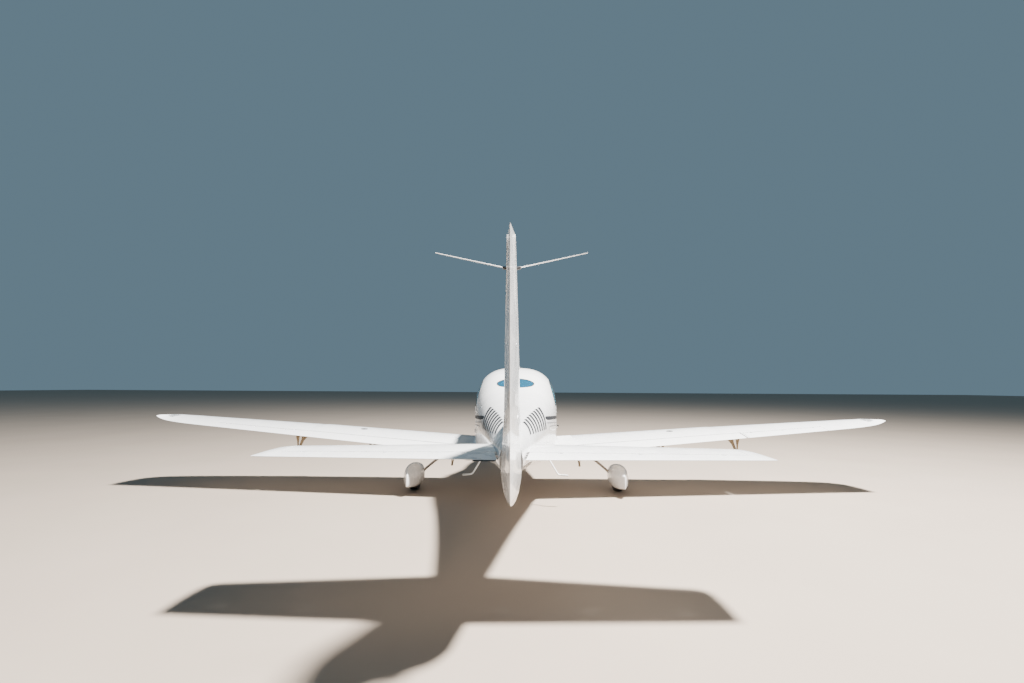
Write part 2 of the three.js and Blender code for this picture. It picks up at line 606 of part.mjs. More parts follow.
// An outline of [forward, up] points about an origin, drawn out along a hinge line
function hingePrism(outline, origin, along, from, to) {
  const forward = vector(0, 1, 0).addScaledVector(along, -along.y).normalize();
  const shape = new THREE.Shape(outline.map(([y, z]) => new THREE.Vector2(y, z)));
  const prism = new THREE.ExtrudeGeometry(shape, { depth: to - from, bevelEnabled: false });
  const axes = new THREE.Matrix4().makeBasis(forward, along.clone().cross(forward), along);
  const start = origin.clone().addScaledVector(along, from);
  return solid(prism.applyMatrix4(axes).translate(start.x, start.y, start.z));
}

// A fixed plate under the wing and a plate under the flap meet side by side at the pivot
function addFlapBracket(wing, flap, pivot, along) {
  const fixedOutline = [[14, -16], [-14, -14], [-16, 14], [50, 150], [64, 253], [300, 262], [300, 215],
    [120, 120]];
  const armOutline = [[14, -14], [-14, -14], [-60, 130], [-130, 238], [-130, 266], [-12, 272], [-14, 100]];
  const plate = hingePrism(fixedOutline, pivot, along, -5, 5);
  const arm = hingePrism(armOutline, pivot, along, 5 + SEAM, 13);
  const pin = bar(pivot, pivot.clone().addScaledVector(along, -14), 9, 9, 8);
  return [wing.add(plate).add(pin), flap.add(arm)];
}

// Fuselage shell with its openings, doors and windows

function rearWindowOutline() {
  const { y, ahead, behind, halfWidth } = REAR_WINDOW;
  return fullTurn(32).map((angle) => {
    const along = Math.sin(angle);
    return new THREE.Vector2(Math.cos(angle) * halfWidth, y + along * (along > 0 ? ahead : behind));
  });
}

function rearWindowPrism(grow) {
  const outline = rearWindowOutline().map((point) => {
    const dy = point.y - REAR_WINDOW.y;
    const reach = Math.hypot(point.x, dy);
    return new THREE.Vector2(point.x * (1 + grow / reach), REAR_WINDOW.y + dy * (1 + grow / reach));
  });
  const prism = new THREE.ExtrudeGeometry(new THREE.Shape(outline), { depth: 900, bevelEnabled: false });
  return solid(prism.translate(0, 0, 1400));
}

// Knuckles of a door on the starboard side; the first half of each pair stays on the body
function doorHinge({ places, off }) {
  const points = places.map(([y, z]) => vector(skinX(y, z) + off, y, z));
  const along = points[1].clone().sub(points[0]).normalize();
  const outward = vector(1, 0, 0).addScaledVector(along, -along.x).normalize();
  const aside = outward.clone().cross(along);
  const axes = new THREE.Matrix4().makeBasis(aside, outward, along);
  const knuckle = (origin, from, to, hand) => {
    const outline = [[0, 0], [6, -5], [40, -7], [40, -30], [8, -30], [0, -9]];
    const shape = new THREE.Shape(outline.map(([out, up]) => new THREE.Vector2(hand * out, up)));
    const strap = new THREE.ExtrudeGeometry(shape, { depth: to - from, bevelEnabled: false });
    const start = origin.clone().addScaledVector(along, from);
    const end = origin.clone().addScaledVector(along, to);
    const knuckleBar = bar(start, end, 8, 8, 10);
    return solid(strap.applyMatrix4(axes).translate(start.x, start.y, start.z)).add(knuckleBar);
  };
  const fixedHand = aside.y > 0 ? 1 : -1;
  return {
    fixed: joinAll(points.map((point) => knuckle(point, SEAM, 26, fixedHand))),
    moving: joinAll(points.map((point) => knuckle(point, -26, 0, -fixedHand))),
  };
}

function fuselage(shapes) {
  const { outer, rudderCove: cove } = shapes;
  const [front, rear] = [FIREWALL_Y, -3230];
  const inner = bodyLoft(FUSELAGE, WALL, front + 1, -3060);
  const glass = bodyLoft(FUSELAGE, GLASS_INSET, front, rear)
    .subtract(bodyLoft(FUSELAGE, GLASS_INSET + GLASS, front + 1, -3100));
  const shell = outer.subtract(inner);
  const right = (outline) => sidePrism(outline, 200, 900);
  const left = (outline) => sidePrism(outline, -900, -200);

  const windshield = glass.intersect(sidePrism(shrink(WINDSHIELD, SEAM), -900, 900));
  const rearWindow = glass.intersect(rearWindowPrism(-SEAM));
  const sideWindow = glass.intersect(right(shrink(REAR_SIDE_WINDOW, SEAM)));
  const doorWindow = glass.intersect(right(shrink(DOOR_WINDOW, SEAM)));
  let door = shell.intersect(doorPrism(shrink(DOOR, RUN_GAP))).subtract(right(DOOR_WINDOW));
  let baggageDoor = shell.intersect(left(shrink(BAGGAGE_DOOR, RUN_GAP)));

  const stabSlot = loft(stabRings(SEAM));
  const tubeHole = bar(vector(-300, ELEVATOR_HINGE_Y, STAB_Z), vector(300, ELEVATOR_HINGE_Y, STAB_Z), 24);
  let whole = shell.subtract(sidePrism(WINDSHIELD, -900, 900)).subtract(rearWindowPrism(0))
    .subtract(cove).subtract(stabSlot).subtract(tubeHole);
  for (const opening of [doorPrism(DOOR), right(REAR_SIDE_WINDOW)]) {
    whole = whole.subtract(opening).subtract(mirrored(opening));
  }
  whole = whole.subtract(left(BAGGAGE_DOOR));
  let rightHalf = whole.intersect(box(SEAM / 2, 900, -3400, 2600, 400, 2200));
  let leftHalf = whole.intersect(box(-900, -SEAM / 2, -3400, 2600, 400, 2200));
  const sideHinge = doorHinge(DOOR_HINGE);
  door = door.add(sideHinge.moving);
  rightHalf = rightHalf.add(sideHinge.fixed);
  const baggageHinge = doorHinge(BAGGAGE_HINGE);
  baggageDoor = baggageDoor.add(mirrored(baggageHinge.moving));
  leftHalf = joinAll([leftHalf, mirrored(sideHinge.fixed), mirrored(baggageHinge.fixed)]);
  return { rightHalf, leftHalf, door, doorWindow, sideWindow, windshield, rearWindow, baggageDoor };
}

// Landing gear

function wheel(axleY, radius, width, x) {
  const [rim, hub] = [radius * 0.42, radius * 0.2];
  const half = width / 2;
  const tyreProfile = [[rim + SEAM, -half * 0.72], [radius * 0.78, -half], [radius * 0.94, -half * 0.84],
    [radius, -half * 0.4], [radius, half * 0.4], [radius * 0.94, half * 0.84], [radius * 0.78, half],
    [rim + SEAM, half * 0.72]];
  const bore = 16 + SEAM;
  const rimProfile = [[bore, -half * 0.62], [hub, -half * 0.62], [rim - 14, -half * 0.3], [rim, -half * 0.7],
    [rim, half * 0.7], [rim - 14, half * 0.3], [hub, half * 0.62], [bore, half * 0.62]];
  const turned = (profile, sides) => {
    const ring = profile.concat([profile[0]]).map(([r, offset]) => new THREE.Vector2(r, offset));
    return solid(new THREE.LatheGeometry(ring, sides).rotateZ(-Math.PI / 2).translate(x, axleY, radius));
  };
  return { tyre: turned(tyreProfile, WHEEL_SIDES), rim: turned(rimProfile, WHEEL_SIDES) };
}

function pantShell(table, axleY, x, slotHalf, slotFrom, slotTo) {
  const section = (row, inset) => ({
    ...row, half: Math.max(2, row.half - inset), upper: 2.3, lower: 3,
    top: row.top - inset, bottom: row.bottom + inset, wide: (row.top + row.bottom) / 2,
  });
  const skin = (inset, trim) => {
    const rows = table.slice(trim, table.length - trim);
    const rings = rows.map((row) => bodyRing(section(row, inset), 0, 16));
    return loft(rings.map((ring) => ring.map((p) => vector(p.x + x, p.y + axleY, p.z))));
  };
  const slot = box(x - slotHalf, x + slotHalf, axleY + slotFrom, axleY + slotTo, -50, 180);
  return skin(0, 0).subtract(skin(9, 1)).subtract(slot);
}

function mainGear() {
  const x = MAIN_WHEEL_X;
  const axle = vector(x, MAIN_AXLE_Y, MAIN_TYRE_R);
  const pant = pantShell(MAIN_PANT, MAIN_AXLE_Y, x, MAIN_TYRE_W / 2 + 14, -212, 212);
  const { tyre, rim } = wheel(MAIN_AXLE_Y, MAIN_TYRE_R, MAIN_TYRE_W, x);
  const inboard = x - MAIN_TYRE_W / 2 - 22;
  const legRows = [
    { from: vector(980, 1120, 690), long: 74, thick: 22 },
    { from: vector(1260, 1098, 500), long: 66, thick: 20 },
    { from: vector(inboard - 45, 1078, 306), long: 56, thick: 18 },
    { from: vector(inboard - 6, 1070, 250), long: 46, thick: 15 },
    { from: vector(inboard, 1070, 165), long: 40, thick: 9 },
  ];
  const legLoft = (rows, grow) => loft(rows.map(({ from, long, thick }) => fullTurn(12).map((angle) => {
    const across = Math.cos(angle) * (thick + grow);
    return from.clone().add(vector(across, Math.sin(angle) * (long + grow), across * 0.5));
  })));
  const leg = legLoft(legRows, 0);
  const axleEnd = x + MAIN_TYRE_W / 2 - 10;
  const axleBar = bar(vector(inboard - 8, axle.y, axle.z), vector(axleEnd, axle.y, axle.z), 16);
  const raised = loft(WING.map((row) => foilRing({ ...row, z: row.z - SEAM }, CAMBER, 11)));
  const whole = leg.add(axleBar).subtract(raised);
  const hole = legLoft(legRows.slice(1), SEAM);
  return { leg: whole, pant: pant.subtract(hole), tyre, rim };
}

function noseGear() {
  const { tyre, rim } = wheel(NOSE_AXLE_Y, NOSE_TYRE_R, NOSE_TYRE_W, 0);
  const pant = pantShell(NOSE_PANT, NOSE_AXLE_Y, 0, NOSE_TYRE_W / 2 + 12, -195, 195);
  const top = vector(0, FIREWALL_Y - 4, 700);
  const knee = vector(0, CASTER_Y - 30, 482);
  const pivotTop = vector(0, CASTER_Y, 505);
  const pivotLow = vector(0, CASTER_Y, 398);
  const strut = bar(top, knee, 30, 26)
    .add(bar(vector(0, CASTER_Y, 440), pivotTop, 34)).add(bar(pivotLow, pivotTop, 18))
    .add(box(-80, 80, FIREWALL_FACE + SEAM, FIREWALL_Y, 660, 770));
  const sleeve = bar(vector(0, CASTER_Y, 374), vector(0, CASTER_Y, 440 - SEAM), 36);
  const side = NOSE_TYRE_W / 2 + 16;
  const armOutline = [[CASTER_Y + 34, 376], [CASTER_Y + 34, 410], [CASTER_Y - 30, 410],
    [NOSE_AXLE_Y - 26, 196], [NOSE_AXLE_Y - 22, 154], [NOSE_AXLE_Y + 24, 154], [CASTER_Y - 10, 376]];
  const arms = [-1, 1].map((hand) => sidePrism(armOutline, hand * side - 7, hand * side + 7));
  const crown = box(-side - 7, side + 7, CASTER_Y - 30, CASTER_Y + 34, 384, 410);
  const axle = bar(vector(-side, NOSE_AXLE_Y, NOSE_TYRE_R), vector(side, NOSE_AXLE_Y, NOSE_TYRE_R), 16);
  const fork = joinAll([sleeve, crown, ...arms, axle])
    .subtract(bar(vector(0, CASTER_Y, 397), vector(0, CASTER_Y, 460), 18.8));
  const room = sidePrism(shrink(armOutline, -SEAM), -side - 7 - SEAM, side + 7 + SEAM);
  return { tyre, rim, strut, fork, pant: pant.subtract(room) };
}

// Propeller and spinner

function propeller() {
  const onAxis = (y) => vector(0, y, PROP_AXIS_Z);
  const hub = bar(onAxis(SPINNER_BACK_Y + 12), onAxis(PROP_Y + 70), 78, 60, 24);
  const blades = [0, 1, 2].map((index) => {
    const spin = new THREE.Matrix4().makeRotationY(index * 2 * Math.PI / 3);
    const rings = BLADE.map(({ r, chord, thick, pitch }) => {
      const turn = THREE.MathUtils.degToRad(pitch);
      return fullTurn(12).map((angle) => {
        const [along, across] = [Math.cos(angle) * chord / 2, Math.sin(angle) * thick / 2];
        const point = vector(along * Math.cos(turn) - across * Math.sin(turn),
          along * Math.sin(turn) + across * Math.cos(turn), r);
        return point.applyMatrix4(spin).add(vector(0, PROP_Y, PROP_AXIS_Z));
      });
    });
    return loft(rings);
  });
  const blade = joinAll(blades);
  const sockets = [0, 1, 2].map((index) => {
    const angle = index * 2 * Math.PI / 3;
    const out = vector(Math.sin(angle), 0, Math.cos(angle));
    const centre = vector(0, PROP_Y, PROP_AXIS_Z);
    return bar(centre, centre.clone().addScaledVector(out, 240), 50, 50, 14);
  });
  const length = SPINNER_TIP_Y - SPINNER_BACK_Y;
  const profile = [0, 0.2, 0.42, 0.64, 0.84, 0.95, 1].map((share) => new THREE.Vector2(
    SPINNER_R * (1 - share ** 2.1) ** 0.62, share * length));
  const cone = solid(new THREE.LatheGeometry([new THREE.Vector2(0, 0), ...profile], 24)
    .translate(0, SPINNER_BACK_Y, PROP_AXIS_Z));
  const room = bar(onAxis(SPINNER_BACK_Y - 5), onAxis(PROP_Y + 75), 79, 79, 24);
  const spinner = cone.subtract(joinAll([room, ...sockets]));
  return { blades: hub.add(blade), spinner };
}

// Engine bay

function engineBay() {
  const [back, front] = [COWL[0].y, COWL[COWL.length - 1].y];
  const outer = bodyLoft(COWL, 0, back, front);
  const inner = bodyLoft(COWL, COWL_WALL, back - 1, front - 14);
  const at = (x, z, y) => vector(x, y, z);
  const round = (x, z, radius) => bar(at(x, z, 3500), at(x, z, 3700), radius, radius, 20);
  const inlets = [-1, 1].map((hand) => round(hand * 196, 1168, 62).add(round(hand * 216, 1166, 50)));
  const holes = joinAll([round(0, PROP_AXIS_Z, 84), round(0, 985, 58), ...inlets]);
  const outlet = box(-240, 240, 2400, 2700, 560, 700)
    .add(bar(vector(0, 2500, 694), vector(0, 3000, 586), 44));
  const shell = outer.subtract(inner).subtract(holes).subtract(outlet);
  const upper = shell.intersect(box(-700, 700, 2400, 3800, COWL_SPLIT_Z + SEAM / 2, 1600));
  const lower = shell.intersect(box(-700, 700, 2400, 3800, 500, COWL_SPLIT_Z - SEAM / 2));
  const block = box(-345, 345, 2760, 3390, 940, 1245)
    .add(bar(vector(0, 3300, PROP_AXIS_Z), vector(0, SPINNER_BACK_Y + 12 - SEAM, PROP_AXIS_Z), 60, 60, 24));
  const mount = [[-1, 830, 990], [1, 830, 990], [-1, 1290, 1190], [1, 1290, 1190]].map(
    ([hand, rearZ, frontZ]) => bar(
      vector(hand * 345, FIREWALL_Y - 70, rearZ), vector(hand * 250, 2800, frontZ), 14, 14, 12));
  const ahead = box(-700, 700, FIREWALL_FACE + SEAM, 3800, 500, 1600);
  const pipes = [-1, 1].map((hand) => joinAll([
    bar(vector(hand * 150, 3000, 850), vector(hand * 150, 2700, 720), 32, 32, 10),
    bar(vector(hand * 150, 2700, 720), vector(hand * 150, 2560, 575), 32, 32, 10),
    bar(vector(hand * 150, 3000, 850), vector(hand * 150, 3060, 938), 32, 32, 10),
  ]));
  const exhaust = joinAll([...pipes, bar(vector(-150, 3000, 850), vector(150, 3000, 850), 28, 28, 10)]);
  const trimmed = exhaust.intersect(box(-400, 400, 2400, 3300, 500, 940 - SEAM));
  return { upper, lower, engine: joinAll([block, ...mount]).intersect(ahead), exhaust: trimmed };
}

// Cabin furniture

function cabin() {
  const room = bodyLoft(FUSELAGE, WALL + SEAM, FIREWALL_Y + 1, -3060);
  const slab = (y0, y1, z0, z1) => room.intersect(box(-900, 900, y0, y1, z0, z1));
  const firewall = slab(FIREWALL_FACE - 14, FIREWALL_FACE, 500, 1700);
  const seatBase = (x0, x1, y0, y1, top) => room.intersect(box(x0, x1, y0, y1, FLOOR_Z - 5, top));
  const floor = joinAll([slab(-900, FIREWALL_FACE - 14 - SEAM, FLOOR_Z - 15, FLOOR_Z),
    ...[-SEAT_X, SEAT_X].map((x) => seatBase(x - 190, x + 190, 1050, 1420, 840)),
    seatBase(-430, 430, 210, 560, 850)]);
  const bulkhead = slab(-915, -900.3, 500, 1700);
  const frontSeat = sidePrism(FRONT_SEAT, SEAT_X - 215, SEAT_X + 215);
  const rearSeat = sidePrism(REAR_SEAT, -480, 480);
  const panel = slab(2030, 2130, 1060, 1500)
    .intersect(sidePrism([[2020, 1060], [2045, 1352], [2140, 1400], [2140, 1060]], -560, 560));
  const shelf = slab(2100, 2440, 1330, 1380).intersect(box(-520, 520, 2100, 2440, 1330, 1372));
  const pedestal = box(-95, 95, 1560, 2110, FLOOR_Z + SEAM, 900).add(box(-95, 95, 2000, 2110, 800, 1100));
  const dials = [-1, 1].map((hand) => box(hand * 270 - 150, hand * 270 + 150, 2028, 2060, 1180, 1330));
  const sticks = [-430, 430].map((x) => bar(vector(x, 2060, 1120), vector(x, 1930, 1150), 14, 14, 16)
    .add(bar(vector(x, 1935, 1110), vector(x, 1925, 1215), 18, 16, 16)));
  const instrument = joinAll([panel, shelf, pedestal, ...dials, ...sticks]);
  return { firewall, floor, bulkhead, frontSeat, rearSeat, instrument };
}

// Small outside pieces

function bentTube(points, radius) {
  const segments = points.slice(1).map((point, i) => bar(points[i], point, radius, radius, 6));
  const knees = points.slice(1, -1).map((point) => solid(new THREE.SphereGeometry(radius, 6, 4)
    .translate(point.x, point.y, point.z)));
  return joinAll([...segments, ...knees]);
}

function step(body) {
  const bends = [[470, 80, 660], [600, 0, 448], [618, -10, 438], [735, -10, 440]];
  return bentTube(bends.map((point) => vector(...point)), 11).subtract(body);
}

// A swept blade antenna on the roof
function roofAntenna(body) {
  const blade = sidePrism([[620, 1920], [500, 1920], [440, 2085], [500, 2088]], -6, 6);
  return blade.subtract(body);
}

// The heated tube below the port wing that meets the air ahead of it
function pitotTube() {
  const { x, y, below, reach } = PITOT;
  const { z } = foilPoint(station(WING, 'x', -x), 0.22, -1, CAMBER);
  const strut = sidePrism([[y + 20, z + 12], [y - 60, z + 12], [y - 20, z - below], [y + 25, z - below]],
    x - 5, x + 5);
  const tube = bar(vector(x, y - 30, z - below), vector(x, y - 30 + reach, z - below), 10, 7, 12);
  const raised = loft(WING.map((row) => foilRing({ ...row, z: row.z - SEAM }, CAMBER, 11)));
  return strut.add(tube).subtract(mirrored(raised));
}

function navAntenna() {
  const [y, z] = [-3400, 2497];
  const across = (reach, radius) => bar(vector(-reach, y, z), vector(reach, y, z), radius, radius, 16);
  const rods = [-1, 1].map((hand) => bar(
    vector(hand * 30, y, z), vector(hand * 512, y - 150, z + 68), 4.5, 2.5, 10));
  return { hole: across(60, 12 + SEAM), antenna: joinAll([across(36, 12), ...rods]) };
}

// Assembly

function aircraft() {
  const group = new THREE.Group();
  const outer = bodyLoft(FUSELAGE, 0, FIREWALL_Y, -3230);
  const grown = bodyLoft(FUSELAGE, -SEAM, FIREWALL_Y + SEAM, -3230);
  const cove = loft(RUDDER.map(rudderCove));
  const body = fuselage({ outer, rudderCove: cove });
  const { stabilizer, elevator } = horizontalTail();
  const { fin, rudder } = verticalTail(grown, cove);
  const { wing, flap, aileron } = wingSide(grown);
  const main = mainGear();
  const noseLeg = noseGear();
  const engine = engineBay();
  const inside = cabin();
  const spin = propeller();
  const { hole, antenna } = navAntenna();
  const tube = bar(vector(-135, ELEVATOR_HINGE_Y, STAB_Z), vector(135, ELEVATOR_HINGE_Y, STAB_Z), 15);
  const groundTab = box(-270, -125, -3160, -3100, STAB_Z - 1, STAB_Z + 1);

  group.add(
    mesh('fuselage_right_half', body.rightHalf, paint.white),
    mesh('fuselage_left_half', body.leftHalf, paint.white),
    mesh('firewall', inside.firewall, paint.metal, 0.4, 0.8),
    mesh('cabin_floor', inside.floor, paint.floor, 0.9),
    mesh('rear_bulkhead', inside.bulkhead, paint.grey, 0.8),
    mesh('windshield', body.windshield, paint.glass, 0.05),
    mesh('rear_window', body.rearWindow, paint.glass, 0.05),
    ...pair('rear_side_window', body.sideWindow, paint.glass, 0.05),
    mesh('instrument_panel', inside.instrument, paint.dark, 0.6),
    ...pair('front_seat', inside.frontSeat, paint.seat, 0.7),
    mesh('rear_seat', inside.rearSeat, paint.seat, 0.7),
    mesh('cowl_upper', engine.upper, paint.white),
    mesh('cowl_lower', engine.lower, paint.white),
    mesh('engine_block', engine.engine, paint.steel, 0.5, 0.6),
    mesh('exhaust', engine.exhaust, paint.steel, 0.4, 0.8),
    ...pair('wing', wing, paint.white),
    ...pair('flap', flap, paint.white),
    ...pair('aileron', aileron, paint.white),
    mesh('horizontal_stabilizer', stabilizer, paint.white),
    mesh('elevator_right', elevator, paint.white),
    mesh('elevator_left', mirrored(elevator).add(groundTab), paint.white),
    mesh('elevator_torque_tube', tube, paint.steel, 0.4, 0.8),
    mesh('fin', fin.subtract(hole), paint.white),
    mesh('rudder', rudder, paint.white),
    mesh('nav_antenna', antenna, paint.white),
    mesh('com_antenna', roofAntenna(grown), paint.white),
    mesh('pitot_tube', pitotTube(), paint.metal, 0.4, 0.8),
    ...pair('main_gear_leg', main.leg, paint.white),
    ...pair('wheel_pant', main.pant, paint.white),
    ...pair('main_tyre', main.tyre, paint.tyre, 0.9),
    ...pair('main_wheel', main.rim, paint.metal, 0.4, 0.8),
    mesh('nose_gear_strut', noseLeg.strut, paint.white),
    mesh('nose_fork', noseLeg.fork, paint.metal, 0.4, 0.8),
    mesh('nose_pant', noseLeg.pant, paint.white),
    mesh('nose_tyre', noseLeg.tyre, paint.tyre, 0.9),
    mesh('nose_wheel', noseLeg.rim, paint.metal, 0.4, 0.8),
    ...pair('door', body.door, paint.white),
    ...pair('door_window', body.doorWindow, paint.glass, 0.05),
    mesh('baggage_door', body.baggageDoor, paint.white),
    mesh('propeller', spin.blades, paint.dark, 0.4),
    mesh('spinner', spin.spinner, paint.white),
    ...pair('step', step(grown), paint.white),
  );
  return group;
}

export default aircraft();
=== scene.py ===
"""The look of a light aircraft with a low wing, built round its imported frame. Metres, +Z up, nose to +Y."""

import logging
import math
from dataclasses import dataclass, field
from enum import Enum
from types import SimpleNamespace

import bpy
import bmesh
import numpy as np
from mathutils import Matrix, Vector
from mathutils.bvhtree import BVHTree


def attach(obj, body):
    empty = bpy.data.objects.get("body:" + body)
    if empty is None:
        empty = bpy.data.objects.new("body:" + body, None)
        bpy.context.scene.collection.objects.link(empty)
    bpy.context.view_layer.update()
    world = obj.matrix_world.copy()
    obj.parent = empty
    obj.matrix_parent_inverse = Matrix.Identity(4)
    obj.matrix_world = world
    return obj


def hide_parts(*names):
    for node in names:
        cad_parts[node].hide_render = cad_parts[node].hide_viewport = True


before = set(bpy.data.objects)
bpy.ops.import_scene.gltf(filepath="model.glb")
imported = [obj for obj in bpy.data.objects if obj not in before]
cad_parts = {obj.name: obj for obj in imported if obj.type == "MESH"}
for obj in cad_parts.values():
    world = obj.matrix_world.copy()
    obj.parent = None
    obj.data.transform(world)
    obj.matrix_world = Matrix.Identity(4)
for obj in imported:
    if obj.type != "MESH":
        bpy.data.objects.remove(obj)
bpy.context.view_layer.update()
LOG = logging.getLogger("aircraft")

SEAM = 0.0003
RUN_GAP = 0.006
COVE_SLACK = 0.001
RUDDER_SLACK = 0.004
EDGE_HALF = 0.0015
BODY_SIDES = 144
SMOOTH_ANGLE = math.radians(32)

Point = tuple[float, float, float]
Outline = list[tuple[float, float]]


class Side(Enum):
    """The two sides of the aircraft, with the sign of X and the letters that names end with."""

    RIGHT = (1, "right", "r")
    LEFT = (-1, "left", "l")

    @property
    def sign(self) -> int:
        """The sign of X on this side."""
        return self.value[0]

    @property
    def word(self) -> str:
        """The word that node names end with."""
        return self.value[1]

    @property
    def letter(self) -> str:
        """The letter that body names end with."""
        return self.value[2]


class Table:
    """Rows of named columns, read at any place of the first column."""

    def __init__(self, columns: str, rows: list[tuple[float, ...]]) -> None:
        """Keeps the rows in rising order.

        Args:
            columns: the columns' names, the place first.
            rows: one tuple of numbers for each station.
        """
        self.columns = columns.split()
        self.rows = np.array(sorted(rows), float)

    def at(self, place: float, smooth: bool = True) -> SimpleNamespace:
        """The values at a place.

        Args:
            place: value of the first column.
            smooth: a curve through the rows, or else straight between them.

        Returns:
            The row's values by name.
        """
        keys = self.rows[:, 0]
        row = int(np.clip(np.searchsorted(keys, place), 1, len(keys) - 1))
        low, high = self.rows[row - 1], self.rows[row]
        span = high[0] - low[0]
        t = (place - low[0]) / span
        if smooth:
            before, after = self.rows[max(0, row - 2)], self.rows[min(len(keys) - 1, row + 1)]
            slope_low = (high - before) / (high[0] - before[0]) * span
            slope_high = (after - low) / (after[0] - low[0]) * span
            values = ((2 * t**3 - 3 * t**2 + 1) * low + (t**3 - 2 * t**2 + t) * slope_low
                      + (3 * t**2 - 2 * t**3) * high + (t**3 - t**2) * slope_high)
        else:
            values = low + (high - low) * t
        values[0] = place
        return SimpleNamespace(**dict(zip(self.columns, values)))


FUSELAGE = Table("y half top bottom wide upper lower", [
    (2.480, 0.545, 1.440, 0.622, 1.100, 2.6, 3.2),
    (2.400, 0.562, 1.462, 0.612, 1.104, 2.6, 3.4),
    (2.050, 0.605, 1.665, 0.588, 1.130, 2.7, 4.2),
    (1.750, 0.630, 1.828, 0.574, 1.180, 2.8, 5.0),
    (1.450, 0.645, 1.928, 0.570, 1.230, 2.8, 5.0),
    (1.050, 0.646, 1.965, 0.570, 1.270, 2.7, 5.0),
    (0.650, 0.628, 1.950, 0.570, 1.270, 2.7, 4.8),
    (0.300, 0.598, 1.882, 0.575, 1.240, 2.7, 4.2),
    (-0.050, 0.558, 1.772, 0.592, 1.200, 2.6, 3.6),
    (-0.500, 0.492, 1.622, 0.645, 1.150, 2.5, 3.0),
    (-1.100, 0.398, 1.490, 0.740, 1.120, 2.4, 2.5),
    (-1.800, 0.292, 1.395, 0.838, 1.110, 2.2, 2.3),
    (-2.400, 0.204, 1.332, 0.922, 1.115, 2.2, 2.2),
    (-2.800, 0.140, 1.296, 0.978, 1.125, 2.2, 2.2),
    (-3.230, 0.080, 1.255, 1.030, 1.130, 2.2, 2.2),
])
COWL = Table("y half top bottom wide upper lower", [
    (2.4803, 0.545, 1.440, 0.622, 1.100, 2.6, 3.2),
    (2.800, 0.538, 1.424, 0.640, 1.105, 2.6, 3.0),
    (3.150, 0.508, 1.394, 0.690, 1.115, 2.5, 2.7),
    (3.400, 0.458, 1.362, 0.752, 1.130, 2.4, 2.5),
    (3.550, 0.400, 1.334, 0.815, 1.145, 2.3, 2.3),
    (3.620, 0.335, 1.308, 0.880, 1.160, 2.2, 2.2),
    (3.636, 0.290, 1.285, 0.930, 1.165, 2.1, 2.1),
])
WING = Table("x lead trail z rise thick", [
    (0.440, 1.826, 0.346, 0.646, 0.036, 0.205),
    (3.280, 1.792, 0.644, 0.879, 0.026, 0.150),
    (3.320, 1.815, 0.649, 0.882, 0.014, 0.153),
    (4.700, 1.724, 0.793, 0.995, 0.010, 0.116),
    (5.300, 1.665, 0.856, 1.045, 0.010, 0.098),
    (5.520, 1.618, 0.872, 1.070, 0.012, 0.082),
    (5.680, 1.530, 0.884, 1.096, 0.014, 0.060),
    (5.790, 1.380, 0.890, 1.130, 0.010, 0.034),
    (5.846, 1.060, 0.894, 1.163, 0.002, 0.009),
])
STAB_Z = 1.135
STABILISER = Table("x lead trail z rise thick", [
    (0.0, -2.335, -3.135, STAB_Z, 0.0, 0.082),
    (1.830, -2.545, -3.062, STAB_Z, 0.0, 0.054),
    (1.905, -2.568, -3.057, STAB_Z, 0.0, 0.046),
    (1.958, -2.630, -3.053, STAB_Z, 0.0, 0.030),
    (1.981, -2.800, -3.050, STAB_Z, 0.0, 0.012),
])
FIN = Table("z lead trail half", [
    (1.150, -1.700, -3.590, 0.072),
    (1.345, -1.950, -3.635, 0.069),
    (1.430, -2.330, -3.656, 0.066),
    (1.560, -2.530, -3.688, 0.062),
    (2.065, -2.942, -3.817, 0.049),
    (2.600, -3.376, -3.950, 0.031),
    (2.700, -3.500, -3.979, 0.027),
])
RUDDER = Table("z trail radius", [
    (0.802, -3.118, 0.016),
    (0.832, -3.240, 0.034),
    (0.905, -3.435, 0.057),
    (1.000, -3.515, 0.073),
    (1.120, -3.578, 0.076),
    (1.250, -3.611, 0.064),
    (1.395, -3.647, 0.054),
    (1.600, -3.699, 0.048),
    (2.065, -3.817, 0.037),
    (2.700, -3.979, 0.022),
])


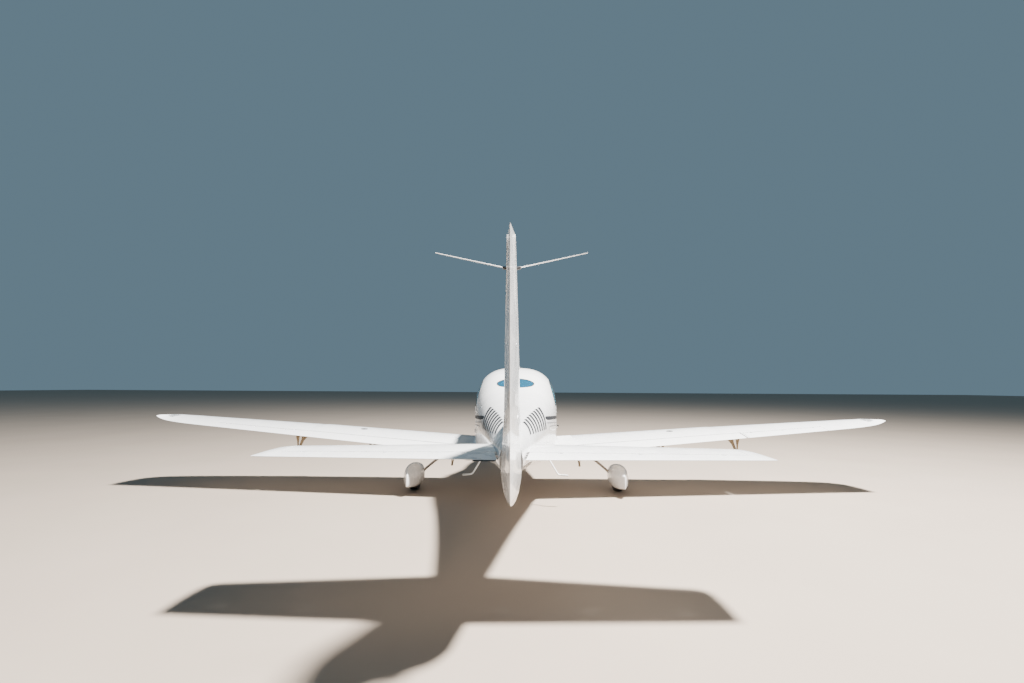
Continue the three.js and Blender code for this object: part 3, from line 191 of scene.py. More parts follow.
class Shape:
    """A closed solid held as a mesh, with cuts and joins."""

    def __init__(self, mesh: bpy.types.Mesh) -> None:
        """Keeps the mesh, with its faces turned outward.

        Args:
            mesh: a closed mesh.
        """
        self.mesh = mesh
        work = bmesh.new()
        work.from_mesh(mesh)
        if work.calc_volume(signed=True) < 0:
            bmesh.ops.reverse_faces(work, faces=work.faces)
            work.to_mesh(mesh)
        work.free()

    @classmethod
    def of(cls, points: np.ndarray | list[Point], faces: list[tuple[int, ...]]) -> "Shape":
        """A solid from points and faces.

        Args:
            points: the corners.
            faces: each face's corner numbers.

        Returns:
            The solid.
        """
        mesh = bpy.data.meshes.new("shape")
        mesh.from_pydata([tuple(p) for p in points], [], faces)
        mesh.update()
        return cls(mesh)

    def _boolean(self, other: "Shape", operation: str) -> "Shape":
        """This solid cut, joined or met with another one.

        Args:
            other: the second solid.
            operation: DIFFERENCE, UNION or INTERSECT.

        Returns:
            The new solid.
        """
        pair = [bpy.data.objects.new("work", shape.mesh) for shape in (self, other)]
        for item in pair:
            bpy.context.scene.collection.objects.link(item)
        modifier = pair[0].modifiers.new("cut", "BOOLEAN")
        modifier.operation = operation
        modifier.solver = "MANIFOLD"
        modifier.object = pair[1]
        graph = bpy.context.evaluated_depsgraph_get()
        mesh = bpy.data.meshes.new_from_object(pair[0].evaluated_get(graph))
        for item in pair:
            bpy.data.objects.remove(item)
        return Shape(mesh)

    def __sub__(self, other: "Shape") -> "Shape":
        """This solid without the other."""
        return self._boolean(other, "DIFFERENCE")

    def __add__(self, other: "Shape") -> "Shape":
        """Both solids as one."""
        return self._boolean(other, "UNION")

    def __and__(self, other: "Shape") -> "Shape":
        """What both solids share."""
        return self._boolean(other, "INTERSECT")

    def moved(self, matrix: Matrix) -> "Shape":
        """A placed copy.

        Args:
            matrix: the placement.

        Returns:
            The copy.
        """
        mesh = self.mesh.copy()
        mesh.transform(matrix)
        return Shape(mesh)

    def mirrored(self) -> "Shape":
        """A copy on the other side of the middle plane."""
        return self.moved(Matrix.Diagonal((-1, 1, 1, 1)))

    def on(self, side: Side) -> "Shape":
        """This starboard solid, or its mirror image on the port side."""
        return self if side is Side.RIGHT else self.mirrored()


def gathered(shapes: list[Shape]) -> Shape:
    """Solids that don't touch each other, as one mesh.

    Args:
        shapes: the solids.

    Returns:
        One shape that holds them all.
    """
    work = bmesh.new()
    for shape in shapes:
        work.from_mesh(shape.mesh)
    mesh = bpy.data.meshes.new("shape")
    work.to_mesh(mesh)
    work.free()
    return Shape(mesh)


def loft(rings: list[np.ndarray]) -> Shape:
    """A closed skin over rings of points.

    Args:
        rings: rings with the same number of points.

    Returns:
        The solid.
    """
    sides, count = len(rings[0]), len(rings)
    faces = [
        (ring * sides + side, ring * sides + (side + 1) % sides,
         (ring + 1) * sides + (side + 1) % sides, (ring + 1) * sides + side)
        for ring in range(count - 1) for side in range(sides)
    ]
    faces.append(tuple(reversed(range(sides))))
    faces.append(tuple(range((count - 1) * sides, count * sides)))
    return Shape.of(np.concatenate(rings), faces)


def block(low: Point, high: Point) -> Shape:
    """A box between two corners."""
    corners = [(x, y, z) for x in (low[0], high[0]) for y in (low[1], high[1]) for z in (low[2], high[2])]
    faces = [(0, 1, 3, 2), (4, 6, 7, 5), (0, 4, 5, 1), (2, 3, 7, 6), (0, 2, 6, 4), (1, 5, 7, 3)]
    return Shape.of(corners, faces)


def bar(start: Point, end: Point, radius: float, end_radius: float | None = None, sides: int = 32) -> Shape:
    """A round bar from one point to another.

    Args:
        start: middle of the first end.
        end: middle of the second end.
        radius: radius at the first end.
        end_radius: radius at the second end, the same if left out.
        sides: faces round the bar.

    Returns:
        The solid.
    """
    first, last = Vector(start), Vector(end)
    turn = (last - first).to_track_quat("Z", "Y")
    angles = np.linspace(0, 2 * math.pi, sides, endpoint=False)
    rings = []
    for middle, size in ((first, radius), (last, radius if end_radius is None else end_radius)):
        rings.append(np.array([middle + turn @ Vector((math.cos(a) * size, math.sin(a) * size, 0))
                               for a in angles]))
    return loft(rings)


def tube(path: list[Point], radius: float, sides: int = 20, flat: float = 1.0) -> Shape:
    """A bar along a smooth path.

    Args:
        path: points of the middle line.
        radius: half thickness.
        sides: faces round the bar.
        flat: thickness as a share of the width.

    Returns:
        The solid.
    """
    points = [Vector(p) for p in path]
    rings = []
    for i, middle in enumerate(points):
        along = (points[min(i + 1, len(points) - 1)] - points[max(i - 1, 0)]).normalized()
        aside = along.cross(Vector((0, 0, 1)))
        aside = aside.normalized() if aside.length > 0.05 else Vector((1, 0, 0))
        up = aside.cross(along).normalized()
        angles = np.linspace(0, 2 * math.pi, sides, endpoint=False)
        rings.append(np.array([middle + aside * (math.cos(a) * radius) + up * (math.sin(a) * radius * flat)
                               for a in angles]))
    return loft(rings)


def rounded_path(points: list[Point], radius: float, steps: int = 8) -> list[Point]:
    """A path with its corners rounded.

    Args:
        points: the corners.
        radius: how far from a corner its curve starts.
        steps: points in each curve.

    Returns:
        The points of the smooth path.
    """
    corners = [Vector(p) for p in points]
    path = [corners[0]]
    for before, corner, after in zip(corners, corners[1:], corners[2:]):
        reach = min(radius, (before - corner).length / 2, (after - corner).length / 2)
        start = corner + (before - corner).normalized() * reach
        end = corner + (after - corner).normalized() * reach
        for t in np.linspace(0, 1, steps):
            path.append(start * (1 - t) ** 2 + corner * 2 * t * (1 - t) + end * t**2)
    path.append(corners[-1])
    return [tuple(p) for p in path]


def rounded(outline: Outline, radius: float, steps: int = 6) -> Outline:
    """A closed outline with its corners rounded.

    Args:
        outline: corners in order.
        radius: how far from a corner its curve starts.
        steps: points in each curve.

    Returns:
        The rounded outline.
    """
    corners = [Vector(p) for p in outline]
    count = len(corners)
    result = []
    for i, corner in enumerate(corners):
        before, after = corners[i - 1], corners[(i + 1) % count]
        reach = min(radius, (before - corner).length * 0.45, (after - corner).length * 0.45)
        start = corner + (before - corner).normalized() * reach
        end = corner + (after - corner).normalized() * reach
        for t in np.linspace(0, 1, steps):
            place = start * (1 - t) ** 2 + corner * 2 * t * (1 - t) + end * t**2
            result.append((place.x, place.y))
    return result


def prism(outline: Outline, axes: Matrix, start: float, end: float) -> Shape:
    """An outline drawn out along the third axis.

    Args:
        outline: corners on the first two axes.
        axes: the axes and the origin.
        start: first place on the third axis.
        end: last place on the third axis.

    Returns:
        The solid.
    """
    rings = [np.array([axes @ Vector((a, b, depth)) for a, b in outline]) for depth in (start, end)]
    return loft(rings)


def axes_at(centre: Point, way: Point) -> Matrix:
    """Axes at a centre, with the third one along a way."""
    axes = Vector(way).to_track_quat("Z", "Y").to_matrix().to_4x4()
    axes.translation = Vector(centre)
    return axes


def spun(profile: Outline, centre: Point, way: Point, sides: int = 64) -> Shape:
    """A profile turned about an axis and closed at both ends.

    Args:
        profile: radius and distance along the axis of each ring.
        centre: where the axis starts.
        way: the axis.
        sides: faces round the solid.

    Returns:
        The solid.
    """
    axes = axes_at(centre, way)
    angles = np.linspace(0, 2 * math.pi, sides, endpoint=False)
    rings = [[axes @ Vector((math.cos(a) * radius, math.sin(a) * radius, along)) for a in angles]
             for radius, along in profile]
    return loft([np.array(ring) for ring in rings])


def turned(profile: Outline, centre: Point, way: Point, sides: int = 64) -> Shape:
    """A closed profile turned about an axis, with a hole in its middle.

    Args:
        profile: radius and distance along the axis of each corner.
        centre: where the axis starts.
        way: the axis.
        sides: faces round the ring.

    Returns:
        The solid.
    """
    axes, count = axes_at(centre, way), len(profile)
    angles = np.linspace(0, 2 * math.pi, sides, endpoint=False)
    points = [axes @ Vector((math.cos(a) * radius, math.sin(a) * radius, along))
              for a in angles for radius, along in profile]
    faces = []
    for side in range(sides):
        after = (side + 1) % sides
        for i in range(count):
            j = (i + 1) % count
            faces.append((side * count + i, side * count + j, after * count + j, after * count + i))
    return Shape.of(points, faces)


def softened(shape: Shape, width: float, segments: int = 3) -> Shape:
    """A solid with its sharp edges rounded.

    Args:
        shape: the solid.
        width: how far from an edge the round starts.
        segments: faces across the round.

    Returns:
        The rounded solid.
    """
    work = bmesh.new()
    work.from_mesh(shape.mesh)
    bmesh.ops.remove_doubles(work, verts=work.verts, dist=1e-6)
    edges = [edge for edge in work.edges if edge.calc_face_angle(0) > SMOOTH_ANGLE]
    bmesh.ops.bevel(work, geom=edges, offset=width, offset_type="OFFSET", segments=segments, affect="EDGES",
                    profile=0.5, clamp_overlap=True)
    mesh = bpy.data.meshes.new("shape")
    work.to_mesh(mesh)
    work.free()
    return Shape(mesh)


SIDE_AXES = Matrix(((0, 0, 1, 0), (1, 0, 0, 0), (0, 1, 0, 0), (0, 0, 0, 1)))


def skin_tree(shape: Shape) -> BVHTree:
    """The skin of a shape, ready for rays."""
    mesh = shape.mesh
    return BVHTree.FromPolygons([v.co for v in mesh.vertices], [p.vertices for p in mesh.polygons])


def side_prism(outline: Outline, start: float, end: float) -> Shape:
    """An outline of (Y, Z) drawn out along X."""
    return prism(outline, SIDE_AXES, start, end)


def plan_prism(outline: Outline, bottom: float, top: float) -> Shape:
    """An outline of (X, Y) drawn out along Z."""
    return prism(outline, Matrix.Identity(4), bottom, top)


def shrunk(outline: Outline, distance: float) -> Outline:
    """An outline with each edge moved inward.

    Args:
        outline: corners in order.
        distance: how far each edge moves.

    Returns:
        The smaller outline.
    """
    points = np.array(outline)
    after, before = np.roll(points, -1, 0), np.roll(points, 1, 0)
    turn = math.copysign(1, float(np.sum(points[:, 0] * after[:, 1] - after[:, 0] * points[:, 1])))

    def normals(start: np.ndarray, end: np.ndarray) -> np.ndarray:
        """Unit normals that point inward from each edge."""
        edge = end - start
        edge /= np.linalg.norm(edge, axis=1, keepdims=True)
        return turn * np.stack([-edge[:, 1], edge[:, 0]], 1)

    first, second = normals(before, points), normals(points, after)
    scale = distance / (1 + np.sum(first * second, 1, keepdims=True))
    return [tuple(p) for p in points + (first + second) * scale]


def oval(section: SimpleNamespace, inset: float = 0.0, sides: int = BODY_SIDES) -> np.ndarray:
    """A body section, with its points at even steps along the skin.

    Args:
        section: half, top, bottom, wide, upper and lower at a place y.
        inset: how far the skin moves inward.
        sides: points in the ring.

    Returns:
        The ring.
    """
    ring = []
    for sign, exponent, reach in (
            (1, section.upper, section.top - section.wide),
            (-1, section.lower, section.wide - section.bottom)):
        angle = np.linspace(0, math.pi, 361)
        cosine = np.cos(angle)
        across = np.sign(cosine) * np.abs(cosine) ** (2 / exponent) * (section.half - inset) * sign
        up = section.wide + sign * np.abs(np.sin(angle)) ** (2 / exponent) * (reach - inset)
        length = np.concatenate([[0], np.cumsum(np.hypot(np.diff(across), np.diff(up)))])
        even = np.linspace(0, length[-1], sides // 2, endpoint=False)
        ring.append(np.stack([np.interp(even, length, across), np.full(len(even), section.y),
                              np.interp(even, length, up)], 1))
    return np.concatenate(ring)


def body(table: Table, inset: float, start: float, end: float, step: float = 0.045,
         sides: int = BODY_SIDES) -> Shape:
    """A body skin between two places.

    Args:
        table: the body's stations.
        inset: how far the skin moves inward.
        start: first place.
        end: last place.
        step: longest distance between rings.
        sides: points in each ring.

    Returns:
        The solid.
    """
    count = max(2, math.ceil(abs(end - start) / step))
    return loft([oval(table.at(y), inset, sides) for y in np.linspace(start, end, count)])


def skin_x(y: float, z: float, table: Table = FUSELAGE) -> float:
    """Half width of the body's skin at a place on its side."""
    section = table.at(y)
    above = z > section.wide
    reach = section.top - section.wide if above else section.wide - section.bottom
    exponent = section.upper if above else section.lower
    height = min(1.0, abs(z - section.wide) / reach)
    return section.half * (1 - height**exponent) ** (1 / exponent)


def foil(fraction: np.ndarray | float, thickness: float, camber: float) -> tuple[np.ndarray, np.ndarray]:
    """Upper and lower height of an aerofoil as shares of its chord."""
    f = np.maximum(0, fraction)
    half = 5 * thickness * (0.2969 * np.sqrt(f) - 0.126 * f - 0.3516 * f**2 + 0.2843 * f**3 - 0.1036 * f**4)
    line = camber * np.where(f < 0.4, (0.8 * f - f * f) / 0.16, (0.2 + 0.8 * f - f * f) / 0.36)
    return line + half, line - half


def foil_points(section: SimpleNamespace, fraction: np.ndarray | float, side: int,
                camber: float) -> np.ndarray:
    """Points on the upper or lower skin of a wing section.

    Args:
        section: x, lead, trail, z, rise and thick.
        fraction: shares of the chord from the nose.
        side: 1 for the upper skin, -1 for the lower one.
        camber: height of the middle line.

    Returns:
        One point for each share.
    """
    f = np.atleast_1d(np.asarray(fraction, float))
    chord = section.lead - section.trail
    height = foil(f, section.thick / chord, camber)[0 if side == 1 else 1] * chord
    z = section.z + section.rise * (1 - f) + height + side * EDGE_HALF * f
    return np.stack([np.full(len(f), section.x), section.lead - f * chord, z], 1)


def foil_ring(section: SimpleNamespace, camber: float, half: int = 44) -> np.ndarray:
    """The closed ring of a wing section, from its trailing edge over the top."""
    fractions = (1 - np.cos(np.linspace(0, math.pi, half))) / 2
    upper = foil_points(section, fractions[::-1], 1, camber)
    return np.concatenate([upper, foil_points(section, fractions[1:], -1, camber)])


@dataclass(frozen=True)
class Nose:
    """The round nose of a control surface, about its hinge line."""

    fraction: float
    radius: float
    centre: np.ndarray


def nose_at(section: SimpleNamespace, hinge_y: float, camber: float) -> Nose:
    """The nose of a surface that starts at a place on the chord."""
    fraction = (section.lead - hinge_y) / (section.lead - section.trail)
    top, bottom = [foil_points(section, fraction, side, camber)[0] for side in (1, -1)]
    return Nose(fraction, (top[2] - bottom[2]) / 2, np.array([section.x, hinge_y, (top[2] + bottom[2]) / 2]))


def half_circle(steps: int = 24) -> np.ndarray:
    """Angles of a half circle, from the top round the front to the bottom."""
    return np.linspace(math.pi / 2, -math.pi / 2, steps)


def surface_ring(section: SimpleNamespace, hinge_y: float, camber: float, steps: int = 12) -> np.ndarray:
    """The ring of a control surface with its round nose."""
    nose = nose_at(section, hinge_y, camber)
    fractions = np.linspace(1, nose.fraction, steps, endpoint=False)
    arc = np.array([[section.x, nose.centre[1] + math.cos(a) * nose.radius,
                     nose.centre[2] + math.sin(a) * nose.radius] for a in half_circle()])
    return np.concatenate([foil_points(section, fractions, 1, camber), arc,
                           foil_points(section, fractions[::-1], -1, camber)])


def cove_ring(section: SimpleNamespace, hinge_y: float, camber: float, x: float) -> np.ndarray:
    """The room that a control surface needs at a place x: its grown nose and all behind it."""
    nose = nose_at(section, hinge_y, camber)
    high, room = 0.16, nose.radius + RUN_GAP + COVE_SLACK
    y, z = nose.centre[1], nose.centre[2]
    behind = section.trail - 0.06
    arc = [[x, y + math.cos(a) * room, z + math.sin(a) * room] for a in half_circle()]
    return np.array([[x, behind, z + high], [x, y, z + high], *arc, [x, y, z - high], [x, behind, z - high]])


class Tree:
    """A short way to build a shader's nodes."""

    def __init__(self, name: str) -> None:
        """Starts a material with only its output.

        Args:
            name: the material's name.
        """
        self.material = bpy.data.materials.new(name)
        self.material.use_nodes = True
        self.nodes = self.material.node_tree.nodes
        self.links = self.material.node_tree.links
        self.nodes.clear()
        self.output = self.nodes.new("ShaderNodeOutputMaterial")

    def add(self, kind: str, **inputs: object) -> bpy.types.Node:
        """A node with its inputs set or linked.

        Args:
            kind: the node's type without the ShaderNode prefix.
            inputs: values or sockets, by the input's name with _ for a space.

        Returns:
            The node.
        """
        node = self.nodes.new("ShaderNode" + kind)
        for name, value in inputs.items():
            if name.startswith("p_"):
                setattr(node, name[2:], value)
                continue
            socket = node.inputs[name.replace("_", " ")]
            if isinstance(value, bpy.types.NodeSocket):
                self.links.new(value, socket)
            else:
                socket.default_value = value
        return node

    def place(self, scale: Point = (1, 1, 1)) -> bpy.types.NodeSocket:
        """Object coordinates, stretched."""
        coordinates = self.add("TexCoord")
        mapping = self.add("Mapping", Vector=coordinates.outputs["Object"], Scale=scale)
        return mapping.outputs["Vector"]

    def noise(self, scale: float, detail: float = 4, stretch: Point = (1, 1, 1)) -> bpy.types.NodeSocket:
        """A noise from 0 to 1."""
        node = self.add("TexNoise", Vector=self.place(stretch), Scale=scale, Detail=detail)
        return node.outputs["Fac"]

    def ramp(self, factor: bpy.types.NodeSocket,
             *stops: tuple[float, tuple[float, ...]]) -> bpy.types.NodeSocket:
        """Colours along a factor.

        Args:
            factor: where on the ramp.
            stops: place and colour of each stop.

        Returns:
            The colour.
        """
        node = self.add("ValToRGB", Fac=factor)
        elements = node.color_ramp.elements
        while len(elements) < len(stops):
            elements.new(0.5)
        for element, (place, colour) in zip(elements, stops):
            element.position = place
            element.color = (*colour[:3], 1)
        return node.outputs["Color"]

    def span(self, factor: bpy.types.NodeSocket, low: float, high: float, start: float = 0.3,
             end: float = 0.7) -> bpy.types.NodeSocket:
        """A factor's range mapped to another range."""
        node = self.add("MapRange", Value=factor)
        for name, value in (("From Min", start), ("From Max", end), ("To Min", low), ("To Max", high)):
            node.inputs[name].default_value = value
        return node.outputs["Result"]

    def bump(self, height: bpy.types.NodeSocket, distance: float, strength: float = 1.0,
             normal: bpy.types.NodeSocket | None = None) -> bpy.types.NodeSocket:
        """A normal from a height."""
        node = self.add("Bump", Height=height, Distance=distance, Strength=strength)
        if normal is not None:
            self.links.new(normal, node.inputs["Normal"])
        return node.outputs["Normal"]

    def shade(self, **inputs: object) -> bpy.types.Material:
        """Ends the tree with a principled shader.

        Args:
            inputs: the shader's inputs.

        Returns:
            The material.
        """
        shader = self.add("BsdfPrincipled", **inputs)
        self.links.new(shader.outputs["BSDF"], self.output.inputs["Surface"])
        return self.material


@dataclass(frozen=True)
class Paint:
    """Gloss paint over a smooth composite skin, turning darker and browner towards the bottom, with faint
    haze.
    """

    name: str
    colour: tuple[float, float, float]
    # The colour that the paint turns towards near the bottom and in the random haze.
    dust: tuple[float, float, float]
    low_tone_top: float = 0.35
    roughness: float = 0.24
    coat: float = 0.7
    shine: float = 0.5

    def build(self) -> bpy.types.Material:
        """Makes the material."""
        tree = Tree(self.name)
        height = tree.add("SeparateXYZ", Vector=tree.place()).outputs["Z"]
        # Low parts turn darker and browner: below the given height the paint blends towards its second colour
        # in blotches.
        low = tree.span(height, 1.0, 0.0, 0.05, self.low_tone_top)
        blotch = tree.span(tree.noise(3.0, 8), 0.55, 1.0, 0.3, 0.7)
        film = tree.add("Math", p_operation="MULTIPLY")
        tree.links.new(low, film.inputs[0])
        tree.links.new(blotch, film.inputs[1])
        haze = tree.span(tree.noise(1.3, 6, (1, 0.35, 1)), 0.0, 0.09, 0.35, 0.75)
        amount = tree.add("Math", p_operation="MAXIMUM")
        tree.links.new(film.outputs[0], amount.inputs[0])
        tree.links.new(haze, amount.inputs[1])
        mix = tree.add("MixRGB", Fac=amount.outputs[0], Color1=(*self.colour, 1), Color2=(*self.dust, 1))
        rough = tree.span(tree.noise(9.0, 5), self.roughness - 0.05, self.roughness + 0.09)
        peel = tree.bump(tree.noise(420, 2), 0.00004, 0.4)
        wave = tree.bump(tree.noise(2.2, 2), 0.0006, 0.25, peel)
        return tree.shade(Base_Color=mix.outputs["Color"], Roughness=rough, Normal=wave,
                          Coat_Weight=self.coat, Coat_Roughness=0.06, IOR=1.5, Specular_IOR_Level=self.shine)


@dataclass(frozen=True)
class Glazing:
    """Tinted acrylic glazing with fine scratches and a little dust."""

    name: str
    tint: tuple[float, float, float]
    solid: float

    def build(self) -> bpy.types.Material:
        """Makes the material."""
        tree = Tree(self.name)
        smear = tree.noise(6.0, 6, (1, 0.3, 1))
        tint = tree.ramp(smear, (0.3, self.tint), (0.75, tuple(c * 0.86 for c in self.tint)))
        rough = tree.span(smear, 0.015, 0.06)
        return tree.shade(Base_Color=tint, Roughness=rough, IOR=1.49, Transmission_Weight=1 - self.solid,
                          Coat_Weight=0.4, Coat_Roughness=0.03)


@dataclass(frozen=True)
class Metal:
    """Bare or plated metal, brushed along one axis, with stains."""

    name: str
    colour: tuple[float, float, float]
    stain: tuple[float, float, float]
    roughness: float = 0.35
    stretch: Point = (1, 1, 12)

    def build(self) -> bpy.types.Material:
        """Makes the material."""
        tree = Tree(self.name)
        blotch = tree.noise(14, 7)
        colour = tree.ramp(blotch, (0.35, self.colour), (0.8, self.stain))
        brush = tree.noise(160, 3, self.stretch)
        rough = tree.span(brush, self.roughness - 0.08, self.roughness + 0.12)
        normal = tree.bump(brush, 0.00008, 0.35)
        return tree.shade(Base_Color=colour, Roughness=rough, Metallic=1.0, Normal=normal)


@dataclass(frozen=True)
class Rubber:
    """Tyre and seal rubber, dusty grey where it is scuffed."""

    name: str
    colour: tuple[float, float, float] = (0.022, 0.022, 0.023)
    dust: tuple[float, float, float] = (0.11, 0.1, 0.09)
    roughness: float = 0.72

    def build(self) -> bpy.types.Material:
        """Makes the material."""
        tree = Tree(self.name)
        colour = tree.ramp(tree.noise(30, 8), (0.42, self.colour), (0.85, self.dust))
        rough = tree.span(tree.noise(60, 4), self.roughness - 0.1, self.roughness + 0.12)
        normal = tree.bump(tree.noise(700, 3), 0.0001, 0.5)
        return tree.shade(Base_Color=colour, Roughness=rough, Normal=normal, Specular_IOR_Level=0.35)


@dataclass(frozen=True)
class Moulding:
    """Moulded plastic with a fine grain."""

    name: str
    colour: tuple[float, float, float]
    roughness: float = 0.5
    grain: float = 900.0

    def build(self) -> bpy.types.Material:
        """Makes the material."""
        tree = Tree(self.name)
        dark = tuple(c * 0.8 for c in self.colour)
        colour = tree.ramp(tree.noise(18, 6), (0.3, self.colour), (0.8, dark))
        rough = tree.span(tree.noise(50, 4), self.roughness - 0.08, self.roughness + 0.08)
        cells = tree.add("TexVoronoi", Vector=tree.place(), Scale=self.grain)
        normal = tree.bump(cells.outputs["Distance"], 0.00008, 0.5)
        return tree.shade(Base_Color=colour, Roughness=rough, Normal=normal)


@dataclass(frozen=True)
class Grit:
    """Non-slip walkway coat: coarse grains with worn pale patches."""

    name: str
    colour: tuple[float, float, float]
    worn: tuple[float, float, float]

    def build(self) -> bpy.types.Material:
        """Makes the material."""
        tree = Tree(self.name)
        colour = tree.ramp(tree.noise(5, 8), (0.35, self.colour), (0.78, self.worn))
        grains = tree.add("TexVoronoi", Vector=tree.place(), Scale=520)
        speck = tree.span(grains.outputs["Distance"], 0.72, 1.0, 0.1, 0.6)
        mixed = tree.add("MixRGB", p_blend_type="MULTIPLY", Fac=1.0, Color1=colour)
        tree.links.new(speck, mixed.inputs["Color2"])
        normal = tree.bump(grains.outputs["Distance"], 0.0006, 0.9)
        return tree.shade(Base_Color=mixed.outputs["Color"], Roughness=0.88, Normal=normal)


@dataclass(frozen=True)
class Leather:
    """Seat leather: soft pebble grain with paler wear."""

    name: str
    colour: tuple[float, float, float]
    worn: tuple[float, float, float]

    def build(self) -> bpy.types.Material:
        """Makes the material."""
        tree = Tree(self.name)
        colour = tree.ramp(tree.noise(9, 7), (0.3, self.colour), (0.8, self.worn))
        pebble = tree.add("TexVoronoi", Vector=tree.place(), Scale=330, p_feature="SMOOTH_F1")
        crease = tree.bump(tree.noise(26, 5), 0.002, 0.25)
        normal = tree.bump(pebble.outputs["Distance"], 0.0004, 0.6, crease)
        return tree.shade(Base_Color=colour, Roughness=0.46, Normal=normal, Sheen_Weight=0.15)


@dataclass(frozen=True)
class Carpet:
    """Short woven pile."""

    name: str
    colour: tuple[float, float, float]
    tip: tuple[float, float, float]

    def build(self) -> bpy.types.Material:
        """Makes the material."""
        tree = Tree(self.name)
        pile = tree.noise(260, 6)
        colour = tree.ramp(pile, (0.35, self.colour), (0.7, self.tip))
        normal = tree.bump(pile, 0.0015, 0.9)
        return tree.shade(Base_Color=colour, Roughness=0.95, Normal=normal, Sheen_Weight=0.4)


@dataclass(frozen=True)
class Lens:
    """Coloured light lens over a bright reflector."""

    name: str
    colour: tuple[float, float, float]

    def build(self) -> bpy.types.Material:
        """Makes the material."""
        tree = Tree(self.name)
        dark = tuple(c * 0.6 for c in self.colour)
        colour = tree.ramp(tree.noise(40, 4), (0.3, self.colour), (0.8, dark))
        ribs = tree.add("TexWave", Vector=tree.place(), Scale=90.0, Distortion=0.2)
        normal = tree.bump(ribs.outputs["Fac"], 0.0004, 0.4)
        return tree.shade(Base_Color=colour, Roughness=0.08, Transmission_Weight=0.55, IOR=1.49,
                          Normal=normal, Coat_Weight=0.5)


class Finish(Enum):
    """Every finish on the aircraft."""

    WHITE = Paint("white_gloss", (0.90, 0.91, 0.92), (0.50, 0.45, 0.39))
    # The legs' warm grey-brown is partly their own paint, a little darker than white, and mostly painted
    # shade: the tone of the legs in the wing's shadow with warm light from the ground on them.
    LEG = Paint("leg_tone_and_painted_shade", (0.29, 0.26, 0.225), (0.22, 0.19, 0.165), roughness=0.4, coat=0.2)
    CHARCOAL = Paint("charcoal_stripe", (0.020, 0.021, 0.024), (0.07, 0.07, 0.07), 0.1, 0.5, 0.0, 0.12)
    SILVER = Paint("silver_stripe", (0.20, 0.20, 0.21), (0.22, 0.21, 0.2), 0.1, 0.45, 0.0, 0.2)
    BLADE = Paint("blade_black", (0.028, 0.028, 0.03), (0.1, 0.09, 0.08), roughness=0.42, coat=0.2)
    BLADE_TIP = Paint("blade_tip_white", (0.72, 0.72, 0.7), (0.3, 0.28, 0.26), roughness=0.38, coat=0.2)
    GLASS = Glazing("cabin_glass", (0.27, 0.60, 0.70), 0.12)
    # The rear glass is the cabin glass made darker and bluer: painted sky reflection and painted shade.
    REAR_GLASS_PAINTED_REFLECTION = Glazing("rear_glass", (0.03, 0.19, 0.33), 0.30)
    ALLOY = Metal("cast_alloy", (0.62, 0.62, 0.63), (0.4, 0.38, 0.36))
    STEEL = Metal("bare_steel", (0.42, 0.42, 0.43), (0.26, 0.22, 0.19), 0.32)
    HEATED = Metal("heated_pipe", (0.36, 0.3, 0.25), (0.16, 0.12, 0.1), 0.42)
    # The flap brackets' brown is painted reflection of the warm ground on their metal.
    BRACKET_PAINTED_REFLECTION = Metal("bracket_metal_painted_reflection", (0.30, 0.235, 0.15), (0.18, 0.14, 0.1), 0.5)
    DISC = Metal("brake_disc", (0.5, 0.49, 0.48), (0.33, 0.26, 0.2), 0.28, (1, 8, 8))
    CAST = Metal("engine_casting", (0.33, 0.33, 0.33), (0.2, 0.19, 0.18), 0.55)
    TYRE = Rubber("tyre_rubber")
    SEAL = Rubber("seal_rubber", (0.03, 0.03, 0.032), (0.07, 0.07, 0.07), 0.6)
    BLACK = Moulding("black_moulding", (0.03, 0.03, 0.032), 0.42)
    GREY = Moulding("grey_moulding", (0.2, 0.2, 0.21), 0.55)
    DIAL = Moulding("screen_black", (0.012, 0.014, 0.018), 0.15, 60)
    HEADLINER = Carpet("headliner_cloth", (0.5, 0.49, 0.46), (0.62, 0.6, 0.57))
    WALKWAY = Grit("walkway_grit", (0.60, 0.61, 0.62), (0.70, 0.70, 0.69))
    LEATHER = Leather("seat_leather", (0.33, 0.29, 0.25), (0.44, 0.39, 0.34))
    CARPET = Carpet("floor_carpet", (0.1, 0.1, 0.105), (0.2, 0.19, 0.19))
    RED_LENS = Lens("red_lens", (0.65, 0.02, 0.02))
    GREEN_LENS = Lens("green_lens", (0.02, 0.5, 0.12))
    CLEAR_LENS = Lens("clear_lens", (0.85, 0.87, 0.88))


class Workshop:
    """Turns shapes into finished pieces that ride on the frame's bodies."""

    def __init__(self) -> None:
        """Starts with no finishes made."""
        self.made: dict[Finish, bpy.types.Material] = {}

    def material(self, finish: Finish) -> bpy.types.Material:
        """A finish's material, made at its first use."""
        if finish not in self.made:
            self.made[finish] = finish.value.build()
        return self.made[finish]

    def piece(self, name: str, shape: Shape, finish: Finish, body_name: str, *nodes: str,
              smooth: float = SMOOTH_ANGLE) -> bpy.types.Object:
        """A finished piece.

        Args:
            name: the piece's name.
            shape: its solid.
            finish: what it is made of or painted with.
            body_name: the body that it rides on.
            nodes: the CAD nodes that it stands for.
            smooth: edges that turn more than this stay crisp.

        Returns:
            The object.
        """
        mesh = shape.mesh
        mesh.name = name
        mesh.shade_smooth()
        mesh.set_sharp_from_angle(angle=smooth)
        mesh.materials.clear()
        mesh.materials.append(self.material(finish))
        item = bpy.data.objects.new(name, mesh)
        bpy.context.scene.collection.objects.link(item)
        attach(item, body_name)
        if nodes:
            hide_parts(*nodes)
        LOG.info("%s: %d faces, %s", name, len(mesh.polygons), finish.name)
        return item

    def dress(self, node: str, finish: Finish) -> None:
        """Gives a CAD node its finish."""
        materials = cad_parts[node].data.materials
        materials.clear()
        materials.append(self.material(finish))


